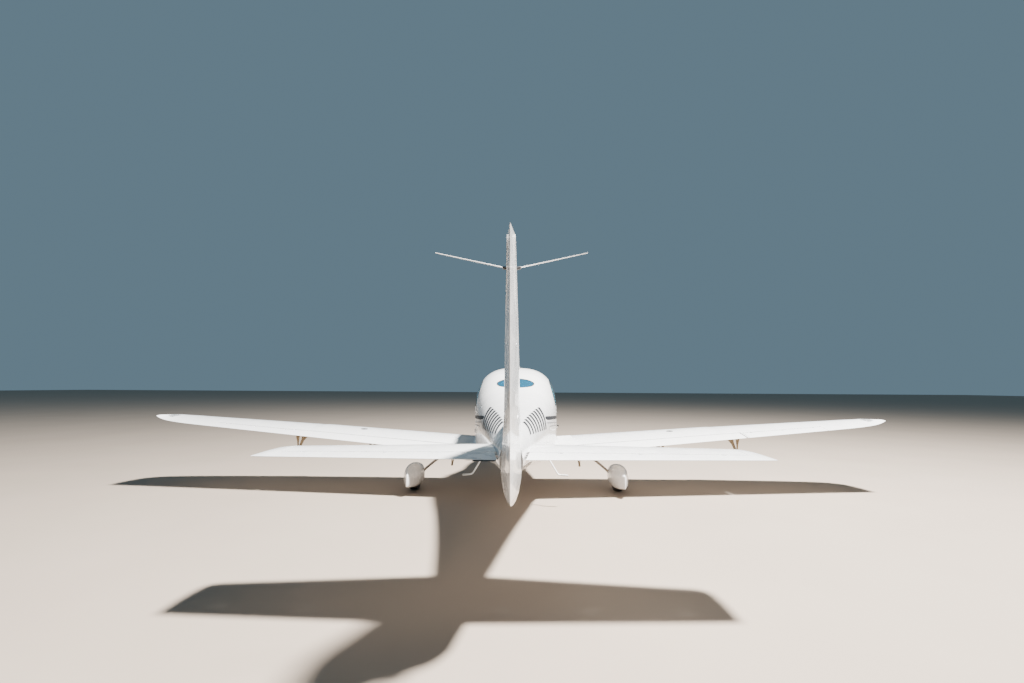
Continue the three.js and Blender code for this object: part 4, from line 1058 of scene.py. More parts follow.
@dataclass
class Fuselage:
    """The cabin and tail cone shells with their doors and windows."""

    front: float = 2.480
    rear: float = -3.230
    wall: float = 0.025
    glass: float = 0.006
    glass_inset: float = 0.004
    door_skew: float = 0.12
    door_skew_from: float = 0.6
    windshield: Outline = field(default_factory=lambda: [
        (2.460, 1.490), (2.408, 1.446), (2.290, 1.398), (2.095, 1.345), (2.060, 1.352), (1.560, 1.905),
        (1.530, 2.010), (2.460, 2.010)])
    door: Outline = field(default_factory=lambda: [
        (2.008, 1.300), (1.575, 1.792), (1.530, 1.832), (1.460, 1.862), (1.000, 1.880), (0.940, 1.866),
        (0.912, 1.820), (0.868, 1.300), (0.880, 0.960), (0.912, 0.892), (0.970, 0.868), (1.880, 0.868),
        (1.968, 0.900), (2.002, 0.980)])
    door_window: Outline = field(default_factory=lambda: [
        (1.888, 1.352), (1.570, 1.712), (1.528, 1.748), (1.480, 1.770), (1.030, 1.790), (0.998, 1.770),
        (0.958, 1.372), (0.975, 1.350), (1.870, 1.332)])
    rear_side_window: Outline = field(default_factory=lambda: [
        (0.812, 1.372), (0.846, 1.752), (0.820, 1.776), (0.620, 1.772), (0.400, 1.722), (0.190, 1.618),
        (0.092, 1.510), (0.084, 1.436), (0.140, 1.388)])
    baggage_door: Outline = field(default_factory=lambda: [
        (-0.140, 0.985), (-0.165, 0.960), (-0.560, 0.960), (-0.590, 0.985), (-0.590, 1.390),
        (-0.565, 1.418), (-0.165, 1.450), (-0.140, 1.425)])
    rear_window_y: float = -0.120
    rear_window_ahead: float = 0.100
    rear_window_behind: float = 0.280
    rear_window_width: float = 0.262
    corner: float = 0.05

    def door_prism(self, outline: Outline, corner: float) -> Shape:
        """A door's outline drawn out along the way that it swings."""
        skew = Matrix.Identity(4)
        skew[2][0] = self.door_skew
        skew[2][3] = -self.door_skew * self.door_skew_from
        return side_prism(rounded(outline, corner), 0.2, 0.9).moved(skew)

    def rear_window_prism(self, grow: float) -> Shape:
        """The upright cutter of the rear window."""
        outline = []
        for angle in np.linspace(0, 2 * math.pi, 96, endpoint=False):
            along = math.sin(angle)
            reach = self.rear_window_ahead if along > 0 else self.rear_window_behind
            outline.append((math.cos(angle) * (self.rear_window_width + grow),
                            self.rear_window_y + along * (reach + grow)))
        return plan_prism(outline, 1.4, 2.3)

    def window_prism(self, outline: Outline, grow: float) -> Shape:
        """The cutter of a side window, its corners rounded."""
        return side_prism(rounded(shrunk(outline, -grow), self.corner), 0.2, 0.9)

    def hatch_prism(self, gap: float = 0.0) -> Shape:
        """The baggage door's outline as a cutter through the port side, inside its edge by a gap."""
        outline = shrunk(self.baggage_door, gap) if gap else self.baggage_door
        return side_prism(rounded(outline, 0.03), -0.9, -0.2)

    def shell_cutters(self, cove: Shape, stab_slot: Shape) -> list[Shape]:
        """Everything that is cut out of the shell."""
        sides = [self.door_prism(self.door, self.corner), self.window_prism(self.rear_side_window, 0)]
        tube_hole = bar((-0.3, Tail.elevator_y, STAB_Z), (0.3, Tail.elevator_y, STAB_Z), 0.024)
        return [side_prism(rounded(self.windshield, 0.06), -0.9, 0.9), self.rear_window_prism(0), cove,
                stab_slot, tube_hole, self.hatch_prism(), *sides, *[side.mirrored() for side in sides]]

    def build(self, shop: Workshop, cove: Shape, stab_slot: Shape) -> None:
        """Makes the shells, doors and windows.

        Args:
            shop: makes the pieces.
            cove: the room of the rudder.
            stab_slot: the stabiliser's skin, a little larger.
        """
        outer = body(FUSELAGE, 0, self.front, self.rear)
        shell = outer - body(FUSELAGE, self.wall, self.front + 0.001, -3.06)
        glass = (body(FUSELAGE, self.glass_inset, self.front, self.rear)
                 - body(FUSELAGE, self.glass_inset + self.glass, self.front + 0.001, -3.1))
        whole = shell
        for cutter in self.shell_cutters(cove, stab_slot):
            whole = whole - cutter
        for side in Side:
            reach = sorted((side.sign * SEAM / 2, side.sign * 0.9))
            half = whole & block((reach[0], -3.4, 0.4), (reach[1], 2.6, 2.2))
            shop.piece(f"shell_{side.word}", half, Finish.WHITE, "airframe", f"fuselage_{side.word}_half")
        self.windows(shop, glass)
        self.doors(shop, shell)

    def windows(self, shop: Workshop, glass: Shape) -> None:
        """Makes the fixed windows and the doors' windows."""
        shield = glass & side_prism(rounded(shrunk(self.windshield, SEAM), 0.06), -0.9, 0.9)
        shop.piece("windshield_glass", shield, Finish.GLASS, "airframe", "windshield")
        rear = glass & self.rear_window_prism(-SEAM)
        # The rear glass takes the darker, bluer glass finish: painted sky reflection and painted shade.
        shop.piece("rear_glass", rear, Finish.REAR_GLASS_PAINTED_REFLECTION, "airframe", "rear_window")
        side_glass = glass & self.window_prism(self.rear_side_window, -SEAM)
        door_glass = glass & self.window_prism(self.door_window, -SEAM)
        for side in Side:
            shop.piece(f"side_glass_{side.word}", side_glass.on(side), Finish.GLASS, "airframe",
                       f"rear_side_window_{side.word}")
            shop.piece(f"door_glass_{side.word}", door_glass.on(side), Finish.GLASS, f"door_{side.letter}",
                       f"door_window_{side.word}")

    def doors(self, shop: Workshop, shell: Shape) -> None:
        """Makes the cabin doors and the baggage door."""
        panel = shell & self.door_prism(shrunk(self.door, RUN_GAP), self.corner)
        panel = panel - self.window_prism(self.door_window, 0)
        for side in Side:
            shop.piece(f"door_panel_{side.word}", panel.on(side), Finish.WHITE, f"door_{side.letter}",
                       f"door_{side.word}")
        hatch = shell & self.hatch_prism(RUN_GAP)
        shop.piece("baggage_panel", hatch, Finish.WHITE, "baggage_door_body", "baggage_door")


@dataclass
class Tail:
    """Stabiliser with elevators, and fin with rudder."""

    elevator_y = -2.910
    fixed_to: float = 1.828
    elevator_from: float = 0.104
    cone_front: float = 0.146
    hinge_places: tuple[float, ...] = (0.380, 1.000, 1.640)
    fin_hinges: tuple[float, ...] = (1.480, 1.980, 2.480)
    lean: float = -0.323
    rudder_foot: tuple[float, float] = (-3.090, 0.850)
    antenna: tuple[float, float] = (-3.400, 2.497)
    top: Outline = field(default_factory=lambda: [
        (-3.300, 2.540), (-3.373, 2.593), (-3.415, 2.640), (-3.490, 2.671), (-3.660, 2.658), (-3.962, 2.624),
        (-4.100, 2.612), (-4.100, 0.700), (-1.500, 0.700), (-1.500, 1.300)])

    def stab_skin(self, grow: float = 0.0) -> Shape:
        """The whole stabiliser from tip to tip."""
        places = np.concatenate([np.linspace(0, 1.83, 30), np.linspace(1.86, 1.981, 14)])
        rings = []
        for x in places:
            row = STABILISER.at(x, smooth=x > 1.83)
            row.lead, row.trail, row.thick = row.lead + grow, row.trail - grow, row.thick + 2 * grow
            rings.append(foil_ring(row, 0))
        left = [ring * (-1, 1, 1) for ring in rings[1:]][::-1]
        return loft(left + rings)

    def hinge(self, fixed: Shape, moving: Shape, centre: np.ndarray, along: Vector, forward: Vector,
              radius: float) -> tuple[Shape, Shape]:
        """Joins a fixed eye to one surface and cuts its notch in the other."""
        half, middle = 0.016, Vector(centre)
        eye = bar(middle + along * (SEAM - half), middle + along * (half - SEAM), radius * 0.72)
        size = min(radius * 0.6, half - 0.002)
        arm = bar(middle, middle + forward * (radius + RUN_GAP + 0.03), size, size, 4)
        up = along.cross(forward)
        axes = Matrix((along, forward, up)).transposed().to_4x4()
        axes.translation = middle + forward * (radius * 0.5)
        deep = 1.5 * radius
        notch = block((-half, -(deep + 0.0025), -deep), (half, deep + 0.0025, deep))
        return fixed + eye + arm, moving - notch.moved(axes)

    def horizontal(self, shop: Workshop) -> None:
        """Makes the stabiliser and the elevators."""
        whole = self.stab_skin()
        end = self.fixed_to + RUN_GAP
        rows = [STABILISER.at(x, smooth=False) for x in (self.elevator_from, 1.0, end, end + 0.04)]
        blade = loft([surface_ring(row, self.elevator_y, 0) for row in rows])
        tip = whole & block((end, -3.2, 1.0), (2.1, -2.4, 1.3))
        ahead = self.elevator_y + 0.06
        wedge = plan_prism([(0, ahead), (self.cone_front, ahead), (self.elevator_from, -3.16), (0, -3.16)],
                           1.0, 1.3)
        elevator = (blade + tip) - wedge
        cove = loft([cove_ring(STABILISER.at(x, smooth=False), self.elevator_y, 0, x)
                     for x in (0.06, self.fixed_to)])
        half = whole & block((0, -3.3, 1.0), (self.fixed_to, -2.3, 1.3))
        half = half - block((-0.1, -3.3, 1.0), (0.0605, self.elevator_y + 0.045, 1.3)) - cove
        for x in self.hinge_places:
            nose = nose_at(STABILISER.at(x, smooth=False), self.elevator_y, 0)
            half, elevator = self.hinge(half, elevator, nose.centre, Vector((1, 0, 0)), Vector((0, 1, 0)),
                                        nose.radius)
        shop.piece("stabiliser", half + half.mirrored(), Finish.WHITE, "airframe", "horizontal_stabilizer")
        for side in Side:
            shop.piece(f"elevator_blade_{side.word}", elevator.on(side), Finish.WHITE, "elevator",
                       f"elevator_{side.word}")

    def hinge_y(self, z: float) -> float:
        """Where the rudder's hinge line is at a height."""
        return self.rudder_foot[0] + self.lean * (z - self.rudder_foot[1])

    def rudder_places(self) -> np.ndarray:
        """Heights of the rudder's rings."""
        return np.concatenate([np.linspace(0.802, 0.905, 10), np.linspace(0.95, 2.7, 30)])

    def rudder_skin(self) -> Shape:
        """The rudder before its top is cut."""
        rings = []
        for z in self.rudder_places():
            row, y = RUDDER.at(z, smooth=False), self.hinge_y(z)
            arc = [(math.sin(a) * row.radius, y + math.cos(a) * row.radius, z) for a in half_circle()]
            rings.append(np.array([(EDGE_HALF, row.trail, z), *arc, (-EDGE_HALF, row.trail, z)]))
        return loft(rings)

    def rudder_room(self) -> Shape:
        """The room that the rudder needs in front of it."""
        rings = []
        for z in self.rudder_places():
            row, y = RUDDER.at(z, smooth=False), self.hinge_y(z)
            room = row.radius + RUN_GAP + RUDDER_SLACK
            arc = [(math.sin(a) * room, y + math.cos(a) * room, z) for a in half_circle()]
            behind = row.trail - 0.06
            rings.append(np.array([(0.2, behind, z), (0.2, y, z), *arc, (-0.2, y, z), (-0.2, behind, z)]))
        return loft(rings)

    def fin_ring(self, z: float, half: int = 44) -> np.ndarray:
        """The fin's section at a height."""
        row = FIN.at(z)
        fractions = (1 - np.cos(np.linspace(0, math.pi, half))) / 2
        chord = row.lead - row.trail

        def side(share: np.ndarray, sign: int) -> np.ndarray:
            """One side of the section."""
            thick = foil(share, 2 * row.half / chord, 0)[0] * chord + EDGE_HALF * share
            return np.stack([sign * thick, row.lead - share * chord, np.full(len(share), z)], 1)

        return np.concatenate([side(fractions[::-1], 1), side(fractions[1:], -1)])

    def vertical(self, shop: Workshop, cove: Shape) -> None:
        """Makes the fin and the rudder.

        Args:
            shop: makes the pieces.
            cove: the room of the rudder.
        """
        profile = side_prism(rounded(self.top, 0.012), -0.15, 0.15)
        skin = loft([self.fin_ring(z) for z in np.linspace(1.150, 2.7, 60)])
        fin = (skin & profile) - cove - body(FUSELAGE, -SEAM, Fuselage.front, Fuselage.rear)
        y, z = self.antenna
        fin = fin - bar((-0.06, y, z), (0.06, y, z), 0.0123)
        rudder = self.rudder_skin() & profile
        along = Vector((0, self.lean, 1)).normalized()
        forward = Vector((0, 1, -self.lean)).normalized()
        for z in self.fin_hinges:
            centre = np.array([0, self.hinge_y(z), z])
            fin, rudder = self.hinge(fin, rudder, centre, along, forward, RUDDER.at(z, smooth=False).radius)
        shop.piece("fin_skin", fin, Finish.WHITE, "airframe", "fin")
        shop.piece("rudder_blade", rudder, Finish.WHITE, "rudder_body", "rudder")


@dataclass
class Wing:
    """One wing with its flap, aileron and flap brackets, drawn on the starboard side."""

    camber: float = 0.022
    flap: tuple[float, float] = (0.668, 3.552)
    flap_nose: tuple[float, float] = (0.705, 0.920)
    flap_end_gap: float = 0.024
    aileron: tuple[float, float] = (3.602, 4.895)
    aileron_nose: tuple[float, float] = (0.905, 1.010)
    pivot_drop: float = 0.265
    brackets: tuple[float, ...] = (0.985, 2.290, 3.490)
    jack_pad: Point = (1.750, 1.260, 0.704)
    dihedral: float = 0.082
    fairing: Table = field(default_factory=lambda: Table("y across up", [
        (1.740, 0.020, 0.014), (1.600, 0.048, 0.030), (1.350, 0.080, 0.040), (1.000, 0.080, 0.042),
        (0.720, 0.050, 0.044), (0.346, 0.046, 0.048), (0.200, 0.030, 0.036), (0.060, 0.008, 0.012)]))

    def skin(self) -> Shape:
        """The whole wing as one solid."""
        places = [0.44, *np.linspace(0.5, 3.28, 28), 3.32, *np.linspace(3.4, 4.7, 14),
                  *np.linspace(4.8, 5.4, 8), *np.linspace(5.45, 5.846, 22)]
        return loft([foil_ring(WING.at(x, smooth=x > 4.7), self.camber) for x in places])

    def root_fairing(self) -> Shape:
        """The concave skin that leads from the body's side onto the wing."""
        section = WING.at(0.640, smooth=False)
        rings = []
        for y in np.linspace(1.740, 0.060, 60):
            row = self.fairing.at(y)
            share = min(1.0, (section.lead - y) / (section.lead - section.trail))
            top, bottom = (foil_points(section, share, side, self.camber)[0][2] for side in (1, -1))
            inboard = skin_x(y, top)
            low = top - min(0.024, 0.004 + 0.4 * (top - bottom))
            ring = []
            for angle in np.linspace(math.pi, 1.5 * math.pi, 16):
                x = inboard + row.across * (1 + math.cos(angle))
                z = top - 0.0015 + (x - section.x) * self.dihedral + row.up * (1 + math.sin(angle))
                ring.append((x, y, z))
            ring += [(inboard + row.across, y, low), (inboard - 0.04, y, low),
                     (inboard - 0.04, y, top + row.up)]
            rings.append(np.array(ring))
        return loft(rings)

    def surface(self, span: tuple[float, float], noses: tuple[float, float]) -> Shape:
        """A flap or aileron."""
        rings = []
        for x in np.linspace(*span, 12):
            hinge_y = noses[0] + (noses[1] - noses[0]) * (x - span[0]) / (span[1] - span[0])
            rings.append(surface_ring(WING.at(x, smooth=x > 4.7), hinge_y, self.camber))
        return loft(rings)

    def cove(self, span: tuple[float, float], noses: tuple[float, float], end_gap: float) -> Shape:
        """The room of a flap or aileron in the wing."""
        places = (span[0] - RUN_GAP, span[1] + end_gap)
        rows = [WING.at(x, smooth=False) for x in span]
        return loft([cove_ring(row, y, self.camber, x) for row, y, x in zip(rows, noses, places)])

    def axis(self, span: tuple[float, float],
             noses: tuple[float, float]) -> tuple[Vector, Vector, list[Nose]]:
        """A surface's hinge line: its direction, the way forward and the noses at its ends."""
        ends = [nose_at(WING.at(x, smooth=False), y, self.camber) for x, y in zip(span, noses)]
        along = Vector(ends[1].centre - ends[0].centre).normalized()
        forward = (Vector((0, 1, 0)) - along * along.y).normalized()
        return along, forward, ends

    def build(self, shop: Workshop) -> None:
        """Makes both wings."""
        wing = (self.skin() + self.root_fairing()) - body(FUSELAGE, -SEAM, Fuselage.front, Fuselage.rear)
        wing = wing - self.cove(self.flap, self.flap_nose, self.flap_end_gap)
        wing = wing - self.cove(self.aileron, self.aileron_nose, RUN_GAP)
        flap = self.surface(self.flap, self.flap_nose)
        aileron = self.surface(self.aileron, self.aileron_nose)
        along, forward, ends = self.axis(self.aileron, self.aileron_nose)
        for share in (0.1, 0.5, 0.9):
            centre = ends[0].centre + (ends[1].centre - ends[0].centre) * share
            radius = ends[0].radius + (ends[1].radius - ends[0].radius) * share
            wing, aileron = Tail().hinge(wing, aileron, centre, along, forward, radius)
        x, y, z = self.jack_pad
        pad = bar((x, y, z), (x, y, z + 0.03), 0.030)
        for side in Side:
            shop.piece(f"wing_skin_{side.word}", wing.on(side), Finish.WHITE, "airframe", f"wing_{side.word}")
            shop.piece(f"flap_skin_{side.word}", flap.on(side), Finish.WHITE, f"flap_{side.letter}",
                       f"flap_{side.word}")
            shop.piece(f"aileron_skin_{side.word}", aileron.on(side), Finish.WHITE, f"aileron_{side.letter}",
                       f"aileron_{side.word}")
            shop.piece(f"jack_point_{side.word}", pad.on(side), Finish.ALLOY, "airframe")
        self.flap_brackets(shop)

    def flap_brackets(self, shop: Workshop) -> None:
        """Makes the plates below the wing that carry the flaps."""
        along, forward, ends = self.axis(self.flap, self.flap_nose)
        fixed = [(0.014, -0.016), (-0.014, -0.014), (-0.016, 0.014), (0.050, 0.150), (0.064, 0.253),
                 (0.300, 0.262), (0.300, 0.215), (0.120, 0.120)]
        arm = [(0.014, -0.014), (-0.014, -0.014), (-0.060, 0.130), (-0.130, 0.238), (-0.130, 0.266),
               (-0.012, 0.272), (-0.014, 0.100)]
        plates, arms, pins, nuts = [], [], [], []
        for x in self.brackets:
            share = (x - self.flap[0]) / (self.flap[1] - self.flap[0])
            centre = ends[0].centre + (ends[1].centre - ends[0].centre) * share
            pivot = Vector(centre) + Vector((0, -0.010, -self.pivot_drop))
            axes = Matrix((forward, along.cross(forward), along)).transposed().to_4x4()
            axes.translation = pivot
            plates.append(prism(rounded(fixed, 0.012), axes, -0.005, 0.005))
            arms.append(prism(rounded(arm, 0.012), axes, 0.0053, 0.013))
            pins.append(bar(pivot - along * 0.014, pivot + along * 0.005, 0.008))
            nuts.append(bar(pivot + along * 0.013, pivot + along * 0.019, 0.010, sides=6))
        for side in Side:
            word, flap = side.word, f"flap_{side.letter}"
            # The brackets' and arms' brown finish is painted reflection of the warm ground.
            shop.piece(f"flap_plates_{word}", gathered(plates).on(side), Finish.BRACKET_PAINTED_REFLECTION, "airframe")
            shop.piece(f"flap_arms_{word}", gathered(arms).on(side), Finish.BRACKET_PAINTED_REFLECTION, flap)
            shop.piece(f"flap_pins_{word}", gathered(pins).on(side), Finish.STEEL, "airframe")
            shop.piece(f"flap_nuts_{word}", gathered(nuts).on(side), Finish.STEEL, flap)


BLADE = Table("r chord thick pitch", [
    (0.040, 0.084, 0.084, 55), (0.150, 0.084, 0.074, 52), (0.290, 0.134, 0.036, 42),
    (0.540, 0.158, 0.021, 29), (0.800, 0.140, 0.013, 21), (0.935, 0.108, 0.009, 17),
    (0.990, 0.040, 0.005, 16),
])


@dataclass
class Powerplant:
    """Engine cowl, engine, exhaust, spinner and propeller."""

    back: float = 2.4803
    front: float = 3.636
    wall: float = 0.012
    firewall_face: float = 2.460
    split_z: float = 1.150
    axis_z: float = 1.170
    prop_y: float = 3.755
    spinner_back: float = 3.645
    spinner_tip: float = 3.960
    spinner_radius: float = 0.168
    inlet: Point = (0.203, 0.068, 0.060)
    light: tuple[float, float] = (0.985, 0.058)
    tip_from: float = 0.905

    def on_axis(self, y: float) -> Point:
        """A place on the propeller's axis."""
        return (0, y, self.axis_z)

    def opening(self, x: float, z: float, wide: float, high: float, stations: Outline) -> Shape:
        """An oval tunnel along Y.

        Args:
            x: its middle across the nose.
            z: its height.
            wide: half width.
            high: half height.
            stations: place and growth of each ring.

        Returns:
            The solid.
        """
        angles = np.linspace(0, 2 * math.pi, 72, endpoint=False)
        return loft([np.array([(x + math.cos(a) * (wide + grow), y, z + math.sin(a) * (high + grow))
                               for a in angles]) for y, grow in stations])

    def cowl(self, shop: Workshop) -> None:
        """Makes the two halves of the cowl with their inlets, outlet and landing light."""
        straight = [(3.5, 0), (3.7, 0)]
        x, wide, high = self.inlet
        light_z, light_radius = self.light
        places = [(y, 0) for y in np.linspace(self.back, 3.4, 24)]
        places += [(y, 0) for y in np.linspace(3.42, self.front - 0.014, 18)]
        places += [(self.front - 0.009, 0.0004), (self.front - 0.005, 0.002), (self.front - 0.002, 0.0045),
                   (self.front, 0.009)]
        shell = loft([oval(COWL.at(y), inset) for y, inset in places])
        shell = shell - body(COWL, self.wall, self.back - 0.001, self.front - 0.014)
        inlet = self.opening(x, 1.168, wide, high, straight)
        for cutter in (self.opening(0, self.axis_z, 0.084, 0.084, straight), inlet, inlet.mirrored(),
                       self.opening(0, light_z, light_radius, light_radius, straight),
                       softened(block((-0.240, 2.300, 0.500), (0.240, 2.700, 0.700)), 0.05, 6),
                       bar((0, 2.500, 0.694), (0, 3.000, 0.586), 0.044)):
            shell = shell - cutter
        top = shell & block((-0.7, 2.4, self.split_z + SEAM / 2), (0.7, 3.8, 1.6))
        bottom = shell & block((-0.7, 2.4, 0.5), (0.7, 3.8, self.split_z - SEAM / 2))
        shop.piece("cowl_top", top, Finish.WHITE, "airframe", "cowl_upper")
        shop.piece("cowl_bottom", bottom, Finish.WHITE, "airframe", "cowl_lower")
        throat = [(3.636, 0.0), (3.631, -0.0035), (3.622, -0.006), (3.600, -0.007), (3.520, 0.0),
                  (3.440, 0.012)]
        bore = [(3.640, 0.004)] + throat + [(3.430, 0.013)]
        duct = (self.opening(x, 1.168, wide - SEAM, high - SEAM, [(3.6365, 0.001)] + throat)
                - self.opening(x, 1.168, wide - 0.003, high - 0.003, bore))
        for side in Side:
            shop.piece(f"inlet_duct_{side.word}", duct.on(side), Finish.WHITE, "airframe")
        outer, inner = light_radius - SEAM, light_radius - 0.006
        bezel = turned([(outer, 0.0), (outer, -0.03), (inner, -0.03), (inner, -0.002)],
                       (0, self.front, light_z), (0, 1, 0))
        bowl = spun([(0.012, -0.05), (0.030, -0.045), (0.044, -0.034), (0.051, -0.020), (0.0515, -0.018),
                     (0.048, -0.018), (0.041, -0.031), (0.029, -0.041), (0.010, -0.046)],
                    (0, self.front, light_z), (0, 1, 0))
        lens = spun([(0.0515, -0.0165), (0.0515, -0.012), (0.040, -0.009), (0.020, -0.007), (0.001, -0.0065)],
                    (0, self.front, light_z), (0, 1, 0))
        shop.piece("landing_light_ring", bezel, Finish.BLACK, "airframe")
        shop.piece("landing_light_bowl", bowl, Finish.ALLOY, "airframe")
        shop.piece("landing_light_lens", lens, Finish.CLEAR_LENS, "airframe")

    def engine(self, shop: Workshop) -> None:
        """Makes the flat six engine on its mount, and the exhaust."""
        case = softened(block((-0.118, 2.790, 0.958), (0.118, 3.370, 1.205)), 0.02)
        shaft = bar((0, 3.300, self.axis_z), (0, self.spinner_back + 0.012 - SEAM, self.axis_z), 0.060)
        ahead = block((-0.7, self.firewall_face + SEAM, 0.5), (0.7, 3.8, 1.6))
        tubes = [bar((hand * 0.345, 2.410, rear), (hand * 0.250, 2.800, front), 0.014) & ahead
                 for hand in (-1, 1) for rear, front in ((0.830, 0.990), (1.290, 1.190))]
        fins = [(0.060, 0.0)]
        for i in range(12):
            along = 0.012 + i * 0.0125
            fins += [(0.064, along), (0.083, along + 0.001), (0.083, along + 0.004), (0.064, along + 0.005)]
        fins += [(0.086, 0.166), (0.088, 0.198), (0.070, 0.204)]
        barrels, covers = [], []
        for hand in (-1, 1):
            for y in (2.885, 3.080, 3.275):
                barrels.append(spun(fins, (hand * 0.112, y, 1.090), (hand, 0, 0), 40))
                low, high = sorted((hand * 0.312, hand * 0.343))
                covers.append(softened(block((low, y - 0.052, 1.040), (high, y + 0.052, 1.140)), 0.012))
        shop.piece("crankcase", case + shaft, Finish.CAST, "airframe", "engine_block")
        shop.piece("cylinders", gathered(barrels), Finish.CAST, "airframe")
        shop.piece("rocker_covers", gathered(covers), Finish.ALLOY, "airframe")
        shop.piece("engine_mount", gathered(tubes), Finish.WHITE, "airframe")
        below = block((-0.4, 2.4, 0.5), (0.4, 3.3, 0.940 - SEAM))
        pipes = []
        for hand in (-1, 1):
            path = rounded_path([(hand * 0.15, 3.070, 0.950), (hand * 0.15, 3.000, 0.850),
                                 (hand * 0.15, 2.700, 0.720), (hand * 0.15, 2.560, 0.575)], 0.09)
            mouth = bar((hand * 0.15, 2.610, 0.6268), (hand * 0.15, 2.550, 0.5646), 0.0295)
            pipes.append((tube(path, 0.032, 32) & below) - mouth)
        across = bar((-0.15, 3.000, 0.850), (0.15, 3.000, 0.850), 0.028)
        shop.piece("exhaust_pipes", pipes[0] + pipes[1] + across, Finish.HEATED, "airframe", "exhaust")

    def blade(self, radii: np.ndarray) -> Shape:
        """One blade, upright, between two radii."""
        rings = []
        for r in radii:
            row = BLADE.at(r, smooth=r > 0.2)
            pitch = math.radians(row.pitch)
            flat = min(1.0, max(0.0, (r - 0.15) / 0.2))
            ring = []
            for angle in np.linspace(0, 2 * math.pi, 48, endpoint=False):
                share = (1 - math.cos(angle)) / 2
                upper, lower = foil(share, row.thick / row.chord, 0.02)
                face = float(upper if angle < math.pi else lower) * row.chord
                across = math.sin(angle) * row.thick / 2 * (1 - flat) + face * flat
                along = math.cos(angle) * row.chord / 2
                ring.append((along * math.cos(pitch) - across * math.sin(pitch),
                             along * math.sin(pitch) + across * math.cos(pitch) + self.prop_y,
                             r + self.axis_z))
            rings.append(np.array(ring))
        return loft(rings)

    def propeller(self, shop: Workshop) -> None:
        """Makes the propeller and its spinner."""
        hub = bar(self.on_axis(self.spinner_back + 0.012), self.on_axis(self.prop_y + 0.07), 0.078, 0.060, 64)
        stations = np.concatenate([np.linspace(0.040, 0.30, 16), np.linspace(0.32, self.tip_from, 28)])
        inner = self.blade(stations)
        outer = self.blade(np.array([self.tip_from + SEAM, 0.925, 0.945, 0.960, 0.972, 0.981, 0.987, 0.990]))
        tips = []
        for turn in range(3):
            spin = (Matrix.Translation(self.on_axis(0)) @ Matrix.Rotation(turn * 2 * math.pi / 3, 4, "Y")
                    @ Matrix.Translation(self.on_axis(0)).inverted())
            hub = hub + inner.moved(spin)
            tips.append(outer.moved(spin))
        shop.piece("propeller_blades", hub, Finish.BLADE, "propeller_body", "propeller")
        shop.piece("propeller_tips", gathered(tips), Finish.BLADE_TIP, "propeller_body")
        length = self.spinner_tip - self.spinner_back
        shares = np.sin(np.linspace(0, math.pi / 2, 40))
        cone = spun([(max(0.0006, self.spinner_radius * (1 - s**2.1) ** 0.62), s * length) for s in shares],
                    self.on_axis(self.spinner_back), (0, 1, 0), 96)
        cone = cone - bar(self.on_axis(self.spinner_back - 0.005), self.on_axis(self.prop_y + 0.075), 0.079)
        for turn in range(3):
            angle = turn * 2 * math.pi / 3
            reach = (math.sin(angle) * 0.24, self.prop_y, self.axis_z + math.cos(angle) * 0.24)
            cone = cone - bar(self.on_axis(self.prop_y), reach, 0.050)
        shop.piece("spinner_cone", cone, Finish.WHITE, "propeller_body", "spinner")

    def build(self, shop: Workshop) -> None:
        """Makes everything ahead of the firewall."""
        self.cowl(shop)
        self.engine(shop)
        self.propeller(shop)


MAIN_PANT = Table("y half top bottom", [
    (0.392, 0.008, 0.250, 0.226), (0.330, 0.062, 0.312, 0.160), (0.220, 0.114, 0.380, 0.104),
    (0.060, 0.147, 0.422, 0.078), (-0.100, 0.145, 0.428, 0.076), (-0.260, 0.121, 0.410, 0.088),
    (-0.420, 0.070, 0.374, 0.118), (-0.568, 0.009, 0.330, 0.152),
])
NOSE_PANT = Table("y half top bottom", [
    (0.296, 0.008, 0.236, 0.212), (0.235, 0.058, 0.304, 0.148), (0.130, 0.098, 0.362, 0.092),
    (0.020, 0.116, 0.392, 0.074), (-0.110, 0.112, 0.396, 0.078), (-0.260, 0.084, 0.374, 0.100),
    (-0.400, 0.048, 0.338, 0.132), (-0.520, 0.008, 0.296, 0.164),
])
MAIN_LEG = Table("s x y z long thick", [
    (0, 0.980, 1.120, 0.690, 0.074, 0.022), (1, 1.260, 1.098, 0.500, 0.066, 0.020),
    (2, 1.497, 1.078, 0.306, 0.056, 0.018), (3, 1.536, 1.070, 0.250, 0.046, 0.015),
    (4, 1.542, 1.070, 0.165, 0.040, 0.009),
])


